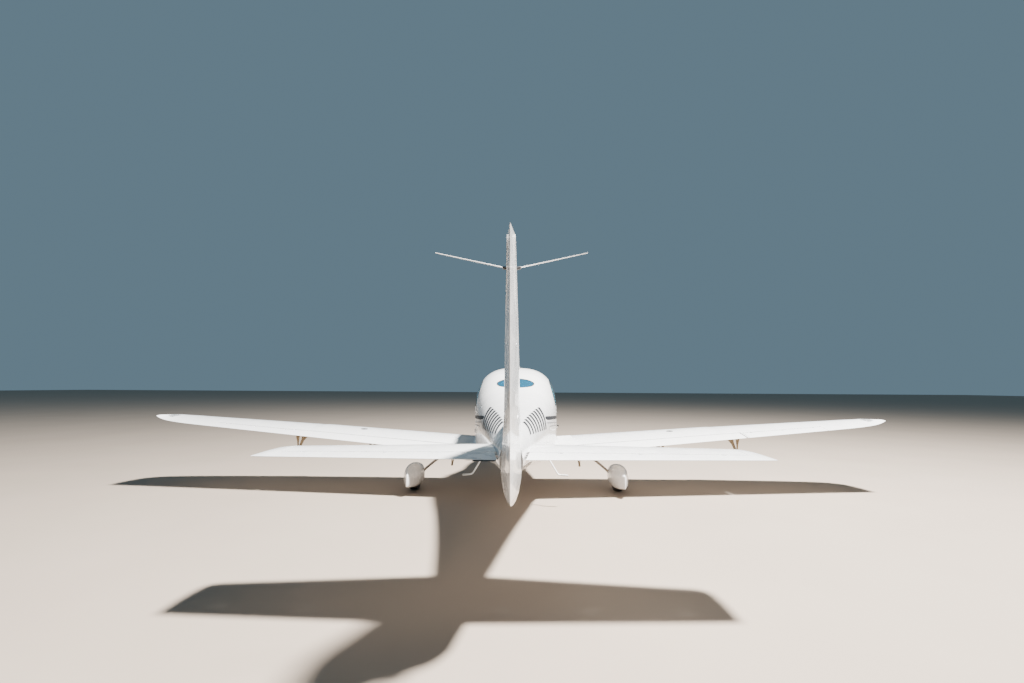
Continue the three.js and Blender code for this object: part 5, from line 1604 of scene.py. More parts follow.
@dataclass
class LandingGear:
    """Wheels, tyres, fairings, legs, brakes and the castering nose fork."""

    main_x: float = 1.640
    main_y: float = 1.070
    main_radius: float = 0.193
    main_width: float = 0.152
    nose_y: float = 3.345
    nose_radius: float = 0.180
    nose_width: float = 0.124
    caster_y: float = 3.500
    firewall_gap: float = 2.4603
    pant_wall: float = 0.009
    bore: float = 0.0163
    tread: Outline = field(default_factory=lambda: [
        (-0.60, 0.985), (-0.42, 0.998), (-0.40, 0.965), (-0.31, 0.965), (-0.29, 1.0), (-0.065, 1.0),
        (-0.05, 0.965), (0.05, 0.965), (0.065, 1.0), (0.29, 1.0), (0.31, 0.965), (0.40, 0.965), (0.42, 0.998),
        (0.60, 0.985)])

    def wheel(self, y: float, radius: float, width: float, x: float, sides: int) -> tuple[Shape, Shape]:
        """A tyre and its wheel.

        Args:
            y: the axle's place.
            radius: the tyre's radius, which is the axle's height too.
            width: the tyre's width.
            x: the wheel's place.
            sides: faces round the tyre.

        Returns:
            The tyre and the wheel.
        """
        rim, hub, half = radius * 0.42, radius * 0.2, width / 2
        bead = [(rim + SEAM, 0.72), (radius * 0.60, 0.94), (radius * 0.78, 1.0), (radius * 0.91, 0.90)]
        profile = ([(r, -share * half) for r, share in bead]
                   + [(radius * level, share * half) for share, level in self.tread]
                   + [(r, share * half) for r, share in reversed(bead)])
        tyre = turned(profile, (x, y, radius), (1, 0, 0), sides)
        side = [(self.bore, 0.62), (hub - 0.004, 0.64), (hub, 0.60), (hub + 0.006, 0.36), (rim - 0.020, 0.28),
                (rim - 0.010, 0.34), (rim - 0.006, 0.60), (rim - 0.002, 0.70), (rim, 0.68)]
        disc = turned([(r, -share * half) for r, share in side]
                      + [(r, share * half) for r, share in reversed(side)], (x, y, radius), (1, 0, 0), 72)
        for angle in np.linspace(0, 2 * math.pi, 6, endpoint=False):
            place = (y + math.cos(angle) * rim * 0.68, radius + math.sin(angle) * rim * 0.68)
            disc = disc - bar((x - 0.1, *place), (x + 0.1, *place), rim * 0.105)
        return tyre, disc

    def pant(self, table: Table, y: float, x: float, slot_half: float, slot_reach: float) -> Shape:
        """A hollow wheel fairing with its slot below.

        Args:
            table: the fairing's stations, from its axle.
            y: the axle's place.
            x: the wheel's place.
            slot_half: half width of the slot.
            slot_reach: half length of the slot.

        Returns:
            The shell.
        """
        front, rear = table.rows[-1][0], table.rows[0][0]

        def skin(places: np.ndarray, inset: float, tips: bool) -> Shape:
            """A skin of the fairing."""
            rings = []
            for place in places:
                row = table.at(place)
                rings.append(oval(SimpleNamespace(
                    y=place + y, half=max(0.002, row.half - inset), top=row.top - inset,
                    bottom=row.bottom + inset, wide=(row.top + row.bottom) / 2, upper=2.3, lower=3.0), 0, 56))
            if tips:
                for index, way in ((0, -1), (-1, 1)):
                    ring = rings[index]
                    middle = ring.mean(0)
                    small = middle + (ring - middle) * 0.45 + np.array([0, way * 0.005, 0])
                    rings.insert(0, small) if index == 0 else rings.append(small)
            return loft([ring + np.array([x, 0, 0]) for ring in rings])

        outer = skin(np.linspace(rear, front, 58), 0, True)
        inner = skin(np.linspace(table.rows[1][0], table.rows[-2][0], 40), self.pant_wall, False)
        slot = plan_prism(rounded([(x - slot_half, y - slot_reach), (x + slot_half, y - slot_reach),
                                   (x + slot_half, y + slot_reach), (x - slot_half, y + slot_reach)], 0.05),
                          -0.05, 0.18)
        return outer - inner - slot

    def leg_skin(self, start: float, end: float, grow: float, count: int = 36) -> Shape:
        """A stretch of the main gear leg, grown outward."""
        angles = np.linspace(0, 2 * math.pi, 48, endpoint=False)
        rings = []
        for place in np.linspace(start, end, count):
            row = MAIN_LEG.at(place)
            across = np.cos(angles) * (row.thick + grow)
            rings.append(np.stack([row.x + across, row.y + np.sin(angles) * (row.long + grow),
                                   row.z + across * 0.5], 1))
        return loft(rings)

    def main(self, shop: Workshop, wing: Shape) -> None:
        """Makes both main legs with their wheels, brakes and fairings.

        Args:
            shop: makes the pieces.
            wing: the wing's whole skin.
        """
        x, y, z = self.main_x, self.main_y, self.main_radius
        inboard = x - self.main_width / 2 - 0.022
        under = wing.moved(Matrix.Translation((0, 0, -SEAM)))
        axle = bar((inboard - 0.008, y, z), (x + self.main_width / 2 - 0.010, y, z), 0.016)
        leg = (self.leg_skin(0, 4, 0) + axle) - under
        root = self.leg_skin(0.02, 0.24, 0.012, 10) - under
        cuff = self.leg_skin(1.93, 2.25, 0.0035, 12)
        nut = bar((x + 0.044, y, z), (x + 0.060, y, z), 0.024, sides=6)
        pant = self.pant(MAIN_PANT, y, x, self.main_width / 2 + 0.014, 0.212) - self.leg_skin(1, 4, SEAM)
        seam = block((x - 0.0465, y - 0.7, 0.0), (x - 0.0450, y + 0.5, 0.5))
        groove = seam - self.pant_core(MAIN_PANT, y, x, 0.0015)
        pant = pant - groove
        tyre, disc = self.wheel(y, z, self.main_width, x, 44)
        brake = turned([(0.045, 0.0), (0.078, 0.0), (0.078, 0.006), (0.045, 0.006)],
                       (x - 0.074, y, z), (1, 0, 0))
        hat = turned([(0.020, 0.0), (0.046, 0.0), (0.046, 0.024), (0.020, 0.024)],
                     (x - 0.070, y, z), (1, 0, 0))
        caliper = softened(block((x - 0.084, y - 0.090, z - 0.030), (x - 0.060, y - 0.048, z + 0.030)), 0.004)
        caliper = caliper - bar((x - 0.0755, y, z), (x - 0.0665, y, z), 0.0795, sides=64)
        arm = block((x - 0.096, y - 0.070, z - 0.012), (x - 0.0835, y - 0.020, z + 0.012))
        bolts = [bar((x + 0.036, y + math.cos(a) * 0.027, z + math.sin(a) * 0.027),
                     (x + 0.052, y + math.cos(a) * 0.027, z + math.sin(a) * 0.027), 0.0035, sides=6)
                 for a in np.linspace(0, 2 * math.pi, 6, endpoint=False)]
        for side in Side:
            word, spin = side.word, f"main_wheel_{side.letter}"
            shop.piece(f"leg_{word}", leg.on(side), Finish.LEG, "airframe", f"main_gear_leg_{word}")
            shop.piece(f"leg_root_fairing_{word}", root.on(side), Finish.WHITE, "airframe")
            shop.piece(f"leg_cuff_{word}", cuff.on(side), Finish.WHITE, "airframe")
            shop.piece(f"axle_nut_{word}", nut.on(side), Finish.STEEL, "airframe")
            shop.piece(f"pant_{word}", pant.on(side), Finish.WHITE, "airframe", f"wheel_pant_{word}")
            shop.piece(f"tyre_{word}", tyre.on(side), Finish.TYRE, spin, f"main_tyre_{word}")
            shop.piece(f"wheel_{word}", disc.on(side), Finish.ALLOY, spin, f"main_wheel_{word}")
            shop.piece(f"brake_disc_{word}", gathered([brake, hat]).on(side), Finish.DISC, spin)
            shop.piece(f"wheel_bolts_{word}", gathered(bolts).on(side), Finish.STEEL, spin)
            shop.piece(f"brake_caliper_{word}", gathered([caliper, arm]).on(side), Finish.CAST, "airframe")

    def pant_core(self, table: Table, y: float, x: float, inset: float) -> Shape:
        """The solid inside a fairing's skin, moved inward."""
        rings = []
        for place in np.linspace(table.rows[0][0] + 0.01, table.rows[-1][0] - 0.01, 50):
            row = table.at(place)
            ring = oval(SimpleNamespace(y=place + y, half=max(0.001, row.half - inset), top=row.top - inset,
                                        bottom=row.bottom + inset, wide=(row.top + row.bottom) / 2, upper=2.3,
                                        lower=3.0), 0, 56)
            rings.append(ring + np.array([x, 0, 0]))
        return loft(rings)

    def nose(self, shop: Workshop) -> None:
        """Makes the nose strut, the castering fork, the nose wheel and its fairing."""
        y, z, cast = self.nose_y, self.nose_radius, self.caster_y
        tyre, disc = self.wheel(y, z, self.nose_width, 0, 46)
        strut = (bar((0, 2.476, 0.700), (0, cast - 0.030, 0.482), 0.030, 0.026, 48)
                 + softened(bar((0, cast, 0.440), (0, cast, 0.505), 0.034, sides=48), 0.004)
                 + bar((0, cast, 0.398), (0, cast, 0.505), 0.018, sides=48)
                 + block((-0.080, self.firewall_gap, 0.660), (0.080, 2.480, 0.770)))
        side = self.nose_width / 2 + 0.016
        outline = [(cast + 0.034, 0.376), (cast + 0.034, 0.410), (cast - 0.030, 0.410), (y - 0.026, 0.196),
                   (y - 0.022, 0.154), (y + 0.024, 0.154), (cast - 0.010, 0.376)]
        fork_side = rounded(outline, 0.012)
        arms = [softened(side_prism(fork_side, hand * side - 0.007, hand * side + 0.007), 0.002, 2)
                for hand in (-1, 1)]
        crown = softened(block((-side - 0.006, cast - 0.029, 0.3845),
                               (side + 0.006, cast + 0.033, 0.4095)), 0.004)
        sleeve = softened(bar((0, cast, 0.374), (0, cast, 0.440 - SEAM), 0.036, sides=48), 0.002, 2)
        axle = bar((-side - 0.004, y, z), (side + 0.004, y, z), 0.016)
        fork = (sleeve + crown + arms[0] + arms[1] + axle) - bar((0, cast, 0.397), (0, cast, 0.460), 0.0188)
        room = side_prism(shrunk(outline, -SEAM), -side - 0.0073, side + 0.0073)
        pant = self.pant(NOSE_PANT, y, 0, self.nose_width / 2 + 0.012, 0.195) - room
        nuts = [bar((hand * (side + 0.0075), y, z), (hand * (side + 0.016), y, z), 0.020, sides=6)
                for hand in (-1, 1)]
        shop.piece("nose_strut", strut, Finish.WHITE, "airframe", "nose_gear_strut")
        shop.piece("nose_fork_arms", fork, Finish.ALLOY, "nose_caster", "nose_fork")
        shop.piece("nose_axle_nuts", gathered(nuts), Finish.STEEL, "nose_caster")
        shop.piece("nose_fairing", pant, Finish.WHITE, "nose_caster", "nose_pant")
        shop.piece("nose_tyre_rubber", tyre, Finish.TYRE, "nose_wheel_body", "nose_tyre")
        shop.piece("nose_wheel_disc", disc, Finish.ALLOY, "nose_wheel_body", "nose_wheel")

    def build(self, shop: Workshop, wing: Shape) -> None:
        """Makes the whole gear below the wing and the nose."""
        self.main(shop, wing)
        self.nose(shop)


@dataclass
class Cushion:
    """A padded form that a cloth simulation swells a little."""

    voxel: float = 0.009
    pressure: float = 4.0
    cap: float = 0.022
    last_frame: int = 20

    def swollen(self, shape: Shape) -> Shape:
        """The form as it looks when stuffed and sewn shut.

        Args:
            shape: the plain form, a little smaller than the finished pad.

        Returns:
            The swollen form.
        """
        item = bpy.data.objects.new("pad", shape.mesh)
        bpy.context.scene.collection.objects.link(item)
        remesh = item.modifiers.new("even", "REMESH")
        remesh.mode, remesh.voxel_size = "VOXEL", self.voxel
        item.data = self.evaluated(item)
        item.modifiers.clear()
        start = np.array([v.co for v in item.data.vertices])
        cloth = item.modifiers.new("pad", "CLOTH")
        cloth.settings.use_pressure = True
        cloth.settings.uniform_pressure_force = self.pressure
        cloth.settings.effector_weights.gravity = 0
        cloth.settings.quality = 4
        cloth.point_cache.frame_start, cloth.point_cache.frame_end = 1, self.last_frame
        for frame_number in range(1, self.last_frame + 1):
            bpy.context.scene.frame_set(frame_number)
        moved = self.evaluated(item)
        item.modifiers.clear()
        shift = np.array([v.co for v in moved.vertices]) - start
        length = np.linalg.norm(shift, axis=1, keepdims=True)
        shift *= np.minimum(1, self.cap / np.maximum(length, 1e-9))
        for vertex, place in zip(item.data.vertices, start + shift):
            vertex.co = place
        bpy.context.scene.frame_set(1)
        smooth = item.modifiers.new("smooth", "SUBSURF")
        smooth.levels = smooth.render_levels = 1
        mesh = self.evaluated(item)
        bpy.data.objects.remove(item)
        return Shape(mesh)

    @staticmethod
    def evaluated(item: bpy.types.Object) -> bpy.types.Mesh:
        """An object's mesh with its modifiers applied."""
        graph = bpy.context.evaluated_depsgraph_get()
        return bpy.data.meshes.new_from_object(item.evaluated_get(graph))

    @staticmethod
    def seam(shape: Shape, starts: list[Point], way: Point, radius: float = 0.0022) -> Shape:
        """Piping that follows a form's surface.

        Args:
            shape: the form.
            starts: places from which the surface is looked for.
            way: the direction of the search.
            radius: half thickness of the piping.

        Returns:
            The piping.
        """
        tree = skin_tree(shape)
        hits = [tree.ray_cast(Vector(start), Vector(way))[0] for start in starts]
        return tube([tuple(hit) for hit in hits if hit], radius, 8)


@dataclass
class Cabin:
    """Seats, instrument panel, side sticks, pedestal and the cloth lining."""

    seat_x: float = 0.300
    seat_half: float = 0.205
    rear_half: float = 0.232
    seat_pan: Outline = field(default_factory=lambda: [
        (1.462, 0.866), (1.466, 0.922), (1.430, 0.944), (1.060, 0.926), (1.020, 0.880)])
    seat_back: Outline = field(default_factory=lambda: [
        (1.050, 0.958), (0.974, 1.240), (0.944, 1.462), (0.908, 1.470), (0.918, 1.200), (0.972, 0.950)])
    head_rest: Outline = field(default_factory=lambda: [
        (0.948, 1.530), (0.936, 1.655), (0.918, 1.686), (0.892, 1.684), (0.886, 1.640), (0.904, 1.535)])
    back_shell: Outline = field(default_factory=lambda: [
        (1.010, 0.8435), (0.972, 0.940), (0.912, 1.200), (0.896, 1.470), (0.884, 1.468), (0.900, 1.180),
        (0.955, 0.930), (0.975, 0.8435)])
    rear_pan: Outline = field(default_factory=lambda: [
        (0.640, 0.864), (0.642, 0.925), (0.608, 0.948), (0.310, 0.930), (0.270, 0.872)])
    rear_back: Outline = field(default_factory=lambda: [
        (0.292, 0.962), (0.206, 1.230), (0.166, 1.500), (0.130, 1.508), (0.146, 1.210), (0.196, 0.940)])
    rear_shell: Outline = field(default_factory=lambda: [
        (0.262, 0.852), (0.190, 0.930), (0.138, 1.200), (0.122, 1.530), (0.106, 1.528), (0.122, 1.190),
        (0.162, 0.852)])

    def seat(self, shop: Workshop, name: str, place: tuple[float, float], outlines: list[Outline],
             nodes: tuple[str, ...]) -> None:
        """Makes one seat place: pan and back cushions with piping.

        Args:
            shop: makes the pieces.
            name: words that the pieces' names start with.
            place: middle and half width.
            outlines: side outlines of the pan and the back.
            nodes: the CAD nodes that the pan stands for.
        """
        x, half = place
        pad = Cushion()
        start = half - 0.014
        pan = pad.swollen(softened(side_prism(rounded(outlines[0], 0.03), x - start, x + start), 0.012))
        back = pad.swollen(softened(side_prism(rounded(outlines[1], 0.025), x - start, x + start), 0.012))
        front, rear = max(y for y, _ in outlines[0]), min(y for y, _ in outlines[0])
        low, high = min(z for _, z in outlines[1]), max(z for _, z in outlines[1])
        along, up = np.linspace(front - 0.02, rear + 0.04, 24), np.linspace(low + 0.05, high - 0.02, 24)
        lines = [pad.seam(pan, [(x + hand * half * 0.5, y, 1.3) for y in along], (0, 0, -1))
                 for hand in (-1, 1)]
        lines += [pad.seam(back, [(x + hand * half * 0.5, front + 0.3, z) for z in up], (0, -1, 0))
                  for hand in (-1, 1)]
        lines.append(pad.seam(back, [(x + across, front + 0.3, low + 0.62 * (high - low))
                                     for across in np.linspace(-half * 0.85, half * 0.85, 30)], (0, -1, 0)))
        item = shop.piece(f"{name}_pan", pan, Finish.LEATHER, "airframe", *nodes)
        shop.piece(f"{name}_back", back, Finish.LEATHER, "airframe")
        shop.piece(f"{name}_piping", gathered(lines), Finish.GREY, "airframe")

    def head(self, shop: Workshop, name: str, x: float, shift: tuple[float, float]) -> None:
        """Makes a head rest on its two posts."""
        outline = [(y + shift[0], z + shift[1]) for y, z in self.head_rest]
        rest = softened(side_prism(rounded(outline, 0.02), x - 0.125, x + 0.125), 0.016, 4)
        y = 0.914 + shift[0]
        foot, top = 1.455 + shift[1], 1.560 + shift[1]
        posts = [bar((x + hand * 0.06, y - 0.006, foot), (x + hand * 0.06, y, top), 0.006)
                 for hand in (-1, 1)]
        shop.piece(f"{name}_head_rest", rest, Finish.LEATHER, "airframe")
        shop.piece(f"{name}_posts", gathered(posts), Finish.STEEL, "airframe")

    def seats(self, shop: Workshop) -> None:
        """Makes the two front seats and the rear bench."""
        for side in Side:
            x, name = side.sign * self.seat_x, f"front_seat_{side.word}"
            self.seat(shop, f"{side.word}_seat", (x, self.seat_half), [self.seat_pan, self.seat_back],
                      (name,))
            shell = softened(side_prism(rounded(self.back_shell, 0.006), x - 0.195, x + 0.195), 0.003, 2)
            rails = [block((x + hand * 0.15 - 0.01, 1.020, 0.8405), (x + hand * 0.15 + 0.01, 1.430, 0.862))
                     for hand in (-1, 1)]
            shop.piece(f"{side.word}_seat_shell", shell, Finish.BLACK, "airframe")
            shop.piece(f"{side.word}_seat_rails", gathered(rails), Finish.ALLOY, "airframe")
            self.head(shop, f"{side.word}_seat", x, (0, 0))
            self.seat(shop, f"{side.word}_bench", (side.sign * 0.238, self.rear_half),
                      [self.rear_pan, self.rear_back], ("rear_seat",) if side is Side.RIGHT else ())
        shell = softened(side_prism(rounded(self.rear_shell, 0.008), -0.470, 0.470), 0.003, 2)
        shop.piece("bench_shell", shell, Finish.BLACK, "airframe")

    def panel(self, shop: Workshop) -> None:
        """Makes the instrument panel, glare shield, pedestal and side sticks."""
        room = body(FUSELAGE, Fuselage.wall + SEAM, Fuselage.front + 0.001, -3.06)
        face = [(2.022, 1.060), (2.045, 1.350), (2.060, 1.356), (2.130, 1.372), (2.130, 1.060)]
        board = side_prism(rounded(face, 0.008), -0.560, 0.560) & room
        shield = softened(block((-0.520, 2.090, 1.335), (0.520, 2.440, 1.372)), 0.012) & room
        shop.piece("panel_board", board + shield, Finish.BLACK, "airframe", "instrument_panel")
        bezels, screens, knobs, keys = [], [], [], []
        for hand in (-1, 1):
            x = hand * 0.270
            bezels.append(softened(block((x - 0.152, 2.020, 1.158), (x + 0.152, 2.062, 1.332)), 0.006))
            screens.append(softened(block((x - 0.124, 2.0185, 1.182), (x + 0.124, 2.030, 1.322)), 0.002, 2))
            for z in (1.205, 1.245, 1.285):
                knobs += [spun([(0.008, 0), (0.0075, 0.012), (0.004, 0.014)],
                               (x + edge * 0.139, 2.0205, z), (0, -1, 0), 24) for edge in (-1, 1)]
            keys += [softened(block((x + across - 0.008, 2.016, 1.164),
                                    (x + across + 0.008, 2.026, 1.173)), 0.002, 2)
                     for across in np.linspace(-0.105, 0.105, 8)]
        for i in range(3):
            x = -0.09 + 0.09 * i
            bezels.append(spun([(0.041, 0), (0.041, 0.014), (0.037, 0.016)],
                               (x, 2.034, 1.118), (0, -1, 0), 48))
            screens.append(spun([(0.034, 0), (0.034, 0.0175), (0.030, 0.018)],
                                (x, 2.034, 1.118), (0, -1, 0), 48))
        shop.piece("display_bezels", gathered(bezels), Finish.GREY, "airframe")
        shop.piece("display_screens", gathered(screens), Finish.DIAL, "airframe")
        shop.piece("panel_knobs", gathered(knobs + keys), Finish.BLACK, "airframe")
        pedestal = softened(block((-0.095, 1.560, 0.6555), (0.095, 2.100, 0.890)), 0.02, 4)
        riser = softened(block((-0.095, 2.000, 0.800), (0.095, 2.100, 1.080)), 0.01)
        lever = tube(rounded_path([(0.0, 1.900, 0.880), (0.0, 1.905, 0.950), (0.0, 1.880, 0.985)], 0.03),
                     0.006)
        grip = softened(block((-0.028, 1.860, 0.978), (0.028, 1.892, 1.000)), 0.009)
        shop.piece("pedestal", pedestal + riser, Finish.GREY, "airframe")
        shop.piece("power_lever", gathered([lever, grip]), Finish.BLACK, "airframe")
        for side in Side:
            x = side.sign * 0.430
            arm = tube(rounded_path([(x, 2.040, 1.120), (x, 1.945, 1.128), (x, 1.930, 1.150)], 0.03), 0.012)
            stick = spun([(0.010, 0), (0.016, 0.012), (0.0135, 0.045), (0.017, 0.075), (0.018, 0.098),
                          (0.010, 0.106)], (x, 1.934, 1.118), (0, -0.08, 1), 32)
            shop.piece(f"side_stick_{side.word}", gathered([arm, stick]), Finish.BLACK, "airframe")

    def lining(self, shop: Workshop) -> None:
        """Makes the cloth lining of the cabin's roof and sides, and of the doors."""
        fuselage = Fuselage()
        front, rear = 2.020, -0.880
        skin = (body(FUSELAGE, Fuselage.wall + 0.0004, front, rear)
                - body(FUSELAGE, Fuselage.wall + 0.003, front + 0.001, rear - 0.001))
        skin = skin & block((-0.9, rear - 0.1, 0.700), (0.9, front + 0.1, 2.2))
        door = fuselage.door_prism(fuselage.door, fuselage.corner)
        window = fuselage.window_prism(fuselage.door_window, 0.004)
        side_window = fuselage.window_prism(fuselage.rear_side_window, 0.004)
        hatch = fuselage.hatch_prism()
        shield = side_prism(rounded(fuselage.windshield, 0.06), -0.9, 0.9)
        lining = skin - hatch - shield - fuselage.rear_window_prism(0.004)
        for cutter in (door, side_window):
            lining = lining - cutter - cutter.mirrored()
        lining = lining - block((-0.9, 2.0205, 1.0), (0.9, 2.2, 1.4))
        shop.piece("cabin_lining", lining, Finish.HEADLINER, "airframe")
        inner = fuselage.door_prism(shrunk(fuselage.door, RUN_GAP + 0.004), fuselage.corner)
        trim = (skin & inner) - window
        for side in Side:
            shop.piece(f"door_lining_{side.word}", trim.on(side), Finish.HEADLINER, f"door_{side.letter}")

    def build(self, shop: Workshop) -> None:
        """Makes all that shows through the cabin's glass."""
        self.seats(shop)
        self.panel(shop)
        self.lining(shop)


def upper_film(skin: Shape, outline: Outline, height: float) -> Shape:
    """A thin coat on the upper side of a skin, within an outline of (X, Y)."""
    return (skin.moved(Matrix.Translation((0, 0, height))) - skin) & plan_prism(outline, 0.5, 1.4)


def rectangle(low: tuple[float, float], high: tuple[float, float], corner: float) -> Outline:
    """A rectangle with round corners."""
    return rounded([low, (high[0], low[1]), high, (low[0], high[1])], corner)


@dataclass
class Livery:
    """Stripes along the body, slanted bars on the tail cone, and walkway coats on the wings."""

    proud: float = 0.0006
    sunk: float = 0.0005
    thick_stripe: Table = field(default_factory=lambda: Table("y z half", [
        (-1.120, 1.303, 0.006), (-1.080, 1.300, 0.021), (-0.400, 1.262, 0.0225), (0.400, 1.220, 0.0225),
        (1.200, 1.192, 0.0225), (2.000, 1.180, 0.022), (2.800, 1.183, 0.018), (3.300, 1.188, 0.012),
        (3.520, 1.192, 0.004)]))
    first_line: Table = field(default_factory=lambda: Table("y z half", [
        (-1.170, 1.252, 0.003), (-1.100, 1.248, 0.008), (-0.400, 1.198, 0.008), (0.300, 1.150, 0.008),
        (1.200, 1.116, 0.008), (2.000, 1.102, 0.0075), (2.800, 1.100, 0.006), (3.400, 1.104, 0.002)]))
    second_line: Table = field(default_factory=lambda: Table("y z half", [
        (-1.040, 1.146, 0.002), (-0.980, 1.174, 0.006), (-0.880, 1.186, 0.0075), (-0.400, 1.158, 0.0075),
        (0.300, 1.110, 0.0075), (1.200, 1.074, 0.007), (2.000, 1.058, 0.0065), (2.800, 1.052, 0.005),
        (3.300, 1.056, 0.002)]))
    bars: int = 8
    bar_front: float = -1.300
    bar_pitch: float = 0.160
    bar_width: float = 0.098
    bar_slant: float = 0.300

    def ribbon(self, line: Table) -> Shape:
        """The cutter of a stripe, through both sides of the body."""
        rows = [line.at(y) for y in np.linspace(line.rows[0][0], line.rows[-1][0], 90)]
        outline = [(row.y, row.z + row.half) for row in rows]
        outline += [(row.y, row.z - row.half) for row in rows[::-1]]
        return side_prism(outline, -0.9, 0.9)

    def slanted_bars(self) -> list[Shape]:
        """The cutters of the tail cone's bars."""
        cutters = []
        for i in range(self.bars):
            front, share = self.bar_front - i * self.bar_pitch, i / (self.bars - 1)
            low, high = 1.195 + 0.055 * share, 1.425 - 0.085 * share
            width = self.bar_width * (1 - 0.20 * share)
            cutters.append(side_prism(rounded([
                (front - width, low), (front, low), (front + self.bar_slant, high),
                (front + self.bar_slant - width, high)], 0.004), -0.9, 0.9))
        return cutters

    def film(self, table: Table, front: float, rear: float) -> Shape:
        """A paint film on the body's skin."""
        return body(table, -self.proud, front, rear) - body(table, self.sunk, front + 0.002, rear - 0.002)

    def lay(self, shop: Workshop, name: str, films: tuple[Shape, Shape], cutters: list[Shape],
            finish: Finish) -> None:
        """Paints one colour over the shells, the doors and the cowl.

        Args:
            shop: makes the pieces.
            name: words that the pieces' names start with.
            films: the whole paint film of the body and of the cowl.
            cutters: where the colour is.
            finish: the colour.
        """
        fuselage = Fuselage()
        skin, nose = films
        paint = gathered([skin & cutter for cutter in cutters])
        door = fuselage.door_prism(fuselage.door, fuselage.corner)
        inner = fuselage.door_prism(shrunk(fuselage.door, RUN_GAP), fuselage.corner)
        hatch, hatch_inner = fuselage.hatch_prism(), fuselage.hatch_prism(RUN_GAP)
        shop.piece(f"{name}_body", paint - door - door.mirrored() - hatch, finish, "airframe")
        shapes = [paint & inner, paint & inner.mirrored()]
        for side, shape in zip(Side, shapes):
            if shape.mesh.polygons:
                shop.piece(f"{name}_door_{side.word}", shape, finish, f"door_{side.letter}")
        on_hatch = paint & hatch_inner
        if on_hatch.mesh.polygons:
            shop.piece(f"{name}_baggage_door", on_hatch, finish, "baggage_door_body")
        on_nose = gathered([nose & cutter for cutter in cutters])
        if on_nose.mesh.polygons:
            shop.piece(f"{name}_cowl", on_nose, finish, "airframe")

    def walkways(self, shop: Workshop, wing: Shape) -> None:
        """Makes the non-slip coats at the wing roots."""
        coat = upper_film(wing, rectangle((0.690, 0.740), (0.930, 1.620), 0.03), 0.0010)
        for side in Side:
            shop.piece(f"walkway_{side.word}", coat.on(side), Finish.WALKWAY, "airframe")

    def build(self, shop: Workshop, wing: Shape) -> None:
        """Makes all the paint that lies over the white."""
        films = self.film(FUSELAGE, 2.479, -2.9), self.film(COWL, 3.560, 2.482)
        lines = [self.ribbon(self.first_line), self.ribbon(self.second_line)]
        self.lay(shop, "thick_stripe", films, [self.ribbon(self.thick_stripe)], Finish.CHARCOAL)
        self.lay(shop, "fine_stripes", films, lines, Finish.SILVER)
        self.lay(shop, "tail_bars", films, self.slanted_bars(), Finish.CHARCOAL)
        self.walkways(shop, wing)


@dataclass
class Seals:
    """Dark sealant round the glass."""

    proud: float = 0.0008
    outer: float = 0.002
    inner: float = 0.011
    seam: float = 0.0012

    def rings(self) -> tuple[Shape, Shape]:
        """The seals of the fixed glass, and the seal of the starboard door's window."""
        fuselage = Fuselage()
        layer = (body(FUSELAGE, -self.proud, fuselage.front - 0.001, -0.6)
                 - body(FUSELAGE, fuselage.glass_inset - SEAM, fuselage.front + 0.001, -0.61))
        corner = fuselage.corner

        def ring(outline: Outline, reach: float, round_off: float) -> Shape:
            """A ring along an outline."""
            big = side_prism(rounded(shrunk(outline, -self.outer), round_off), reach, 0.9)
            small = side_prism(rounded(shrunk(outline, self.inner), round_off), reach - 0.01, 0.91)
            return layer & (big - small)

        side = ring(fuselage.rear_side_window, 0.2, corner)
        rear = layer & (fuselage.rear_window_prism(self.outer) - fuselage.rear_window_prism(-self.inner))
        shield = ring(fuselage.windshield, -0.9, 0.06)
        return gathered([side, side.mirrored(), rear, shield]), ring(fuselage.door_window, 0.2, corner)

    def build(self, shop: Workshop) -> None:
        """Makes the seals."""
        fixed, door = self.rings()
        shop.piece("window_seals", fixed, Finish.SEAL, "airframe")
        for side in Side:
            shop.piece(f"door_window_seal_{side.word}", door.on(side), Finish.SEAL, f"door_{side.letter}")


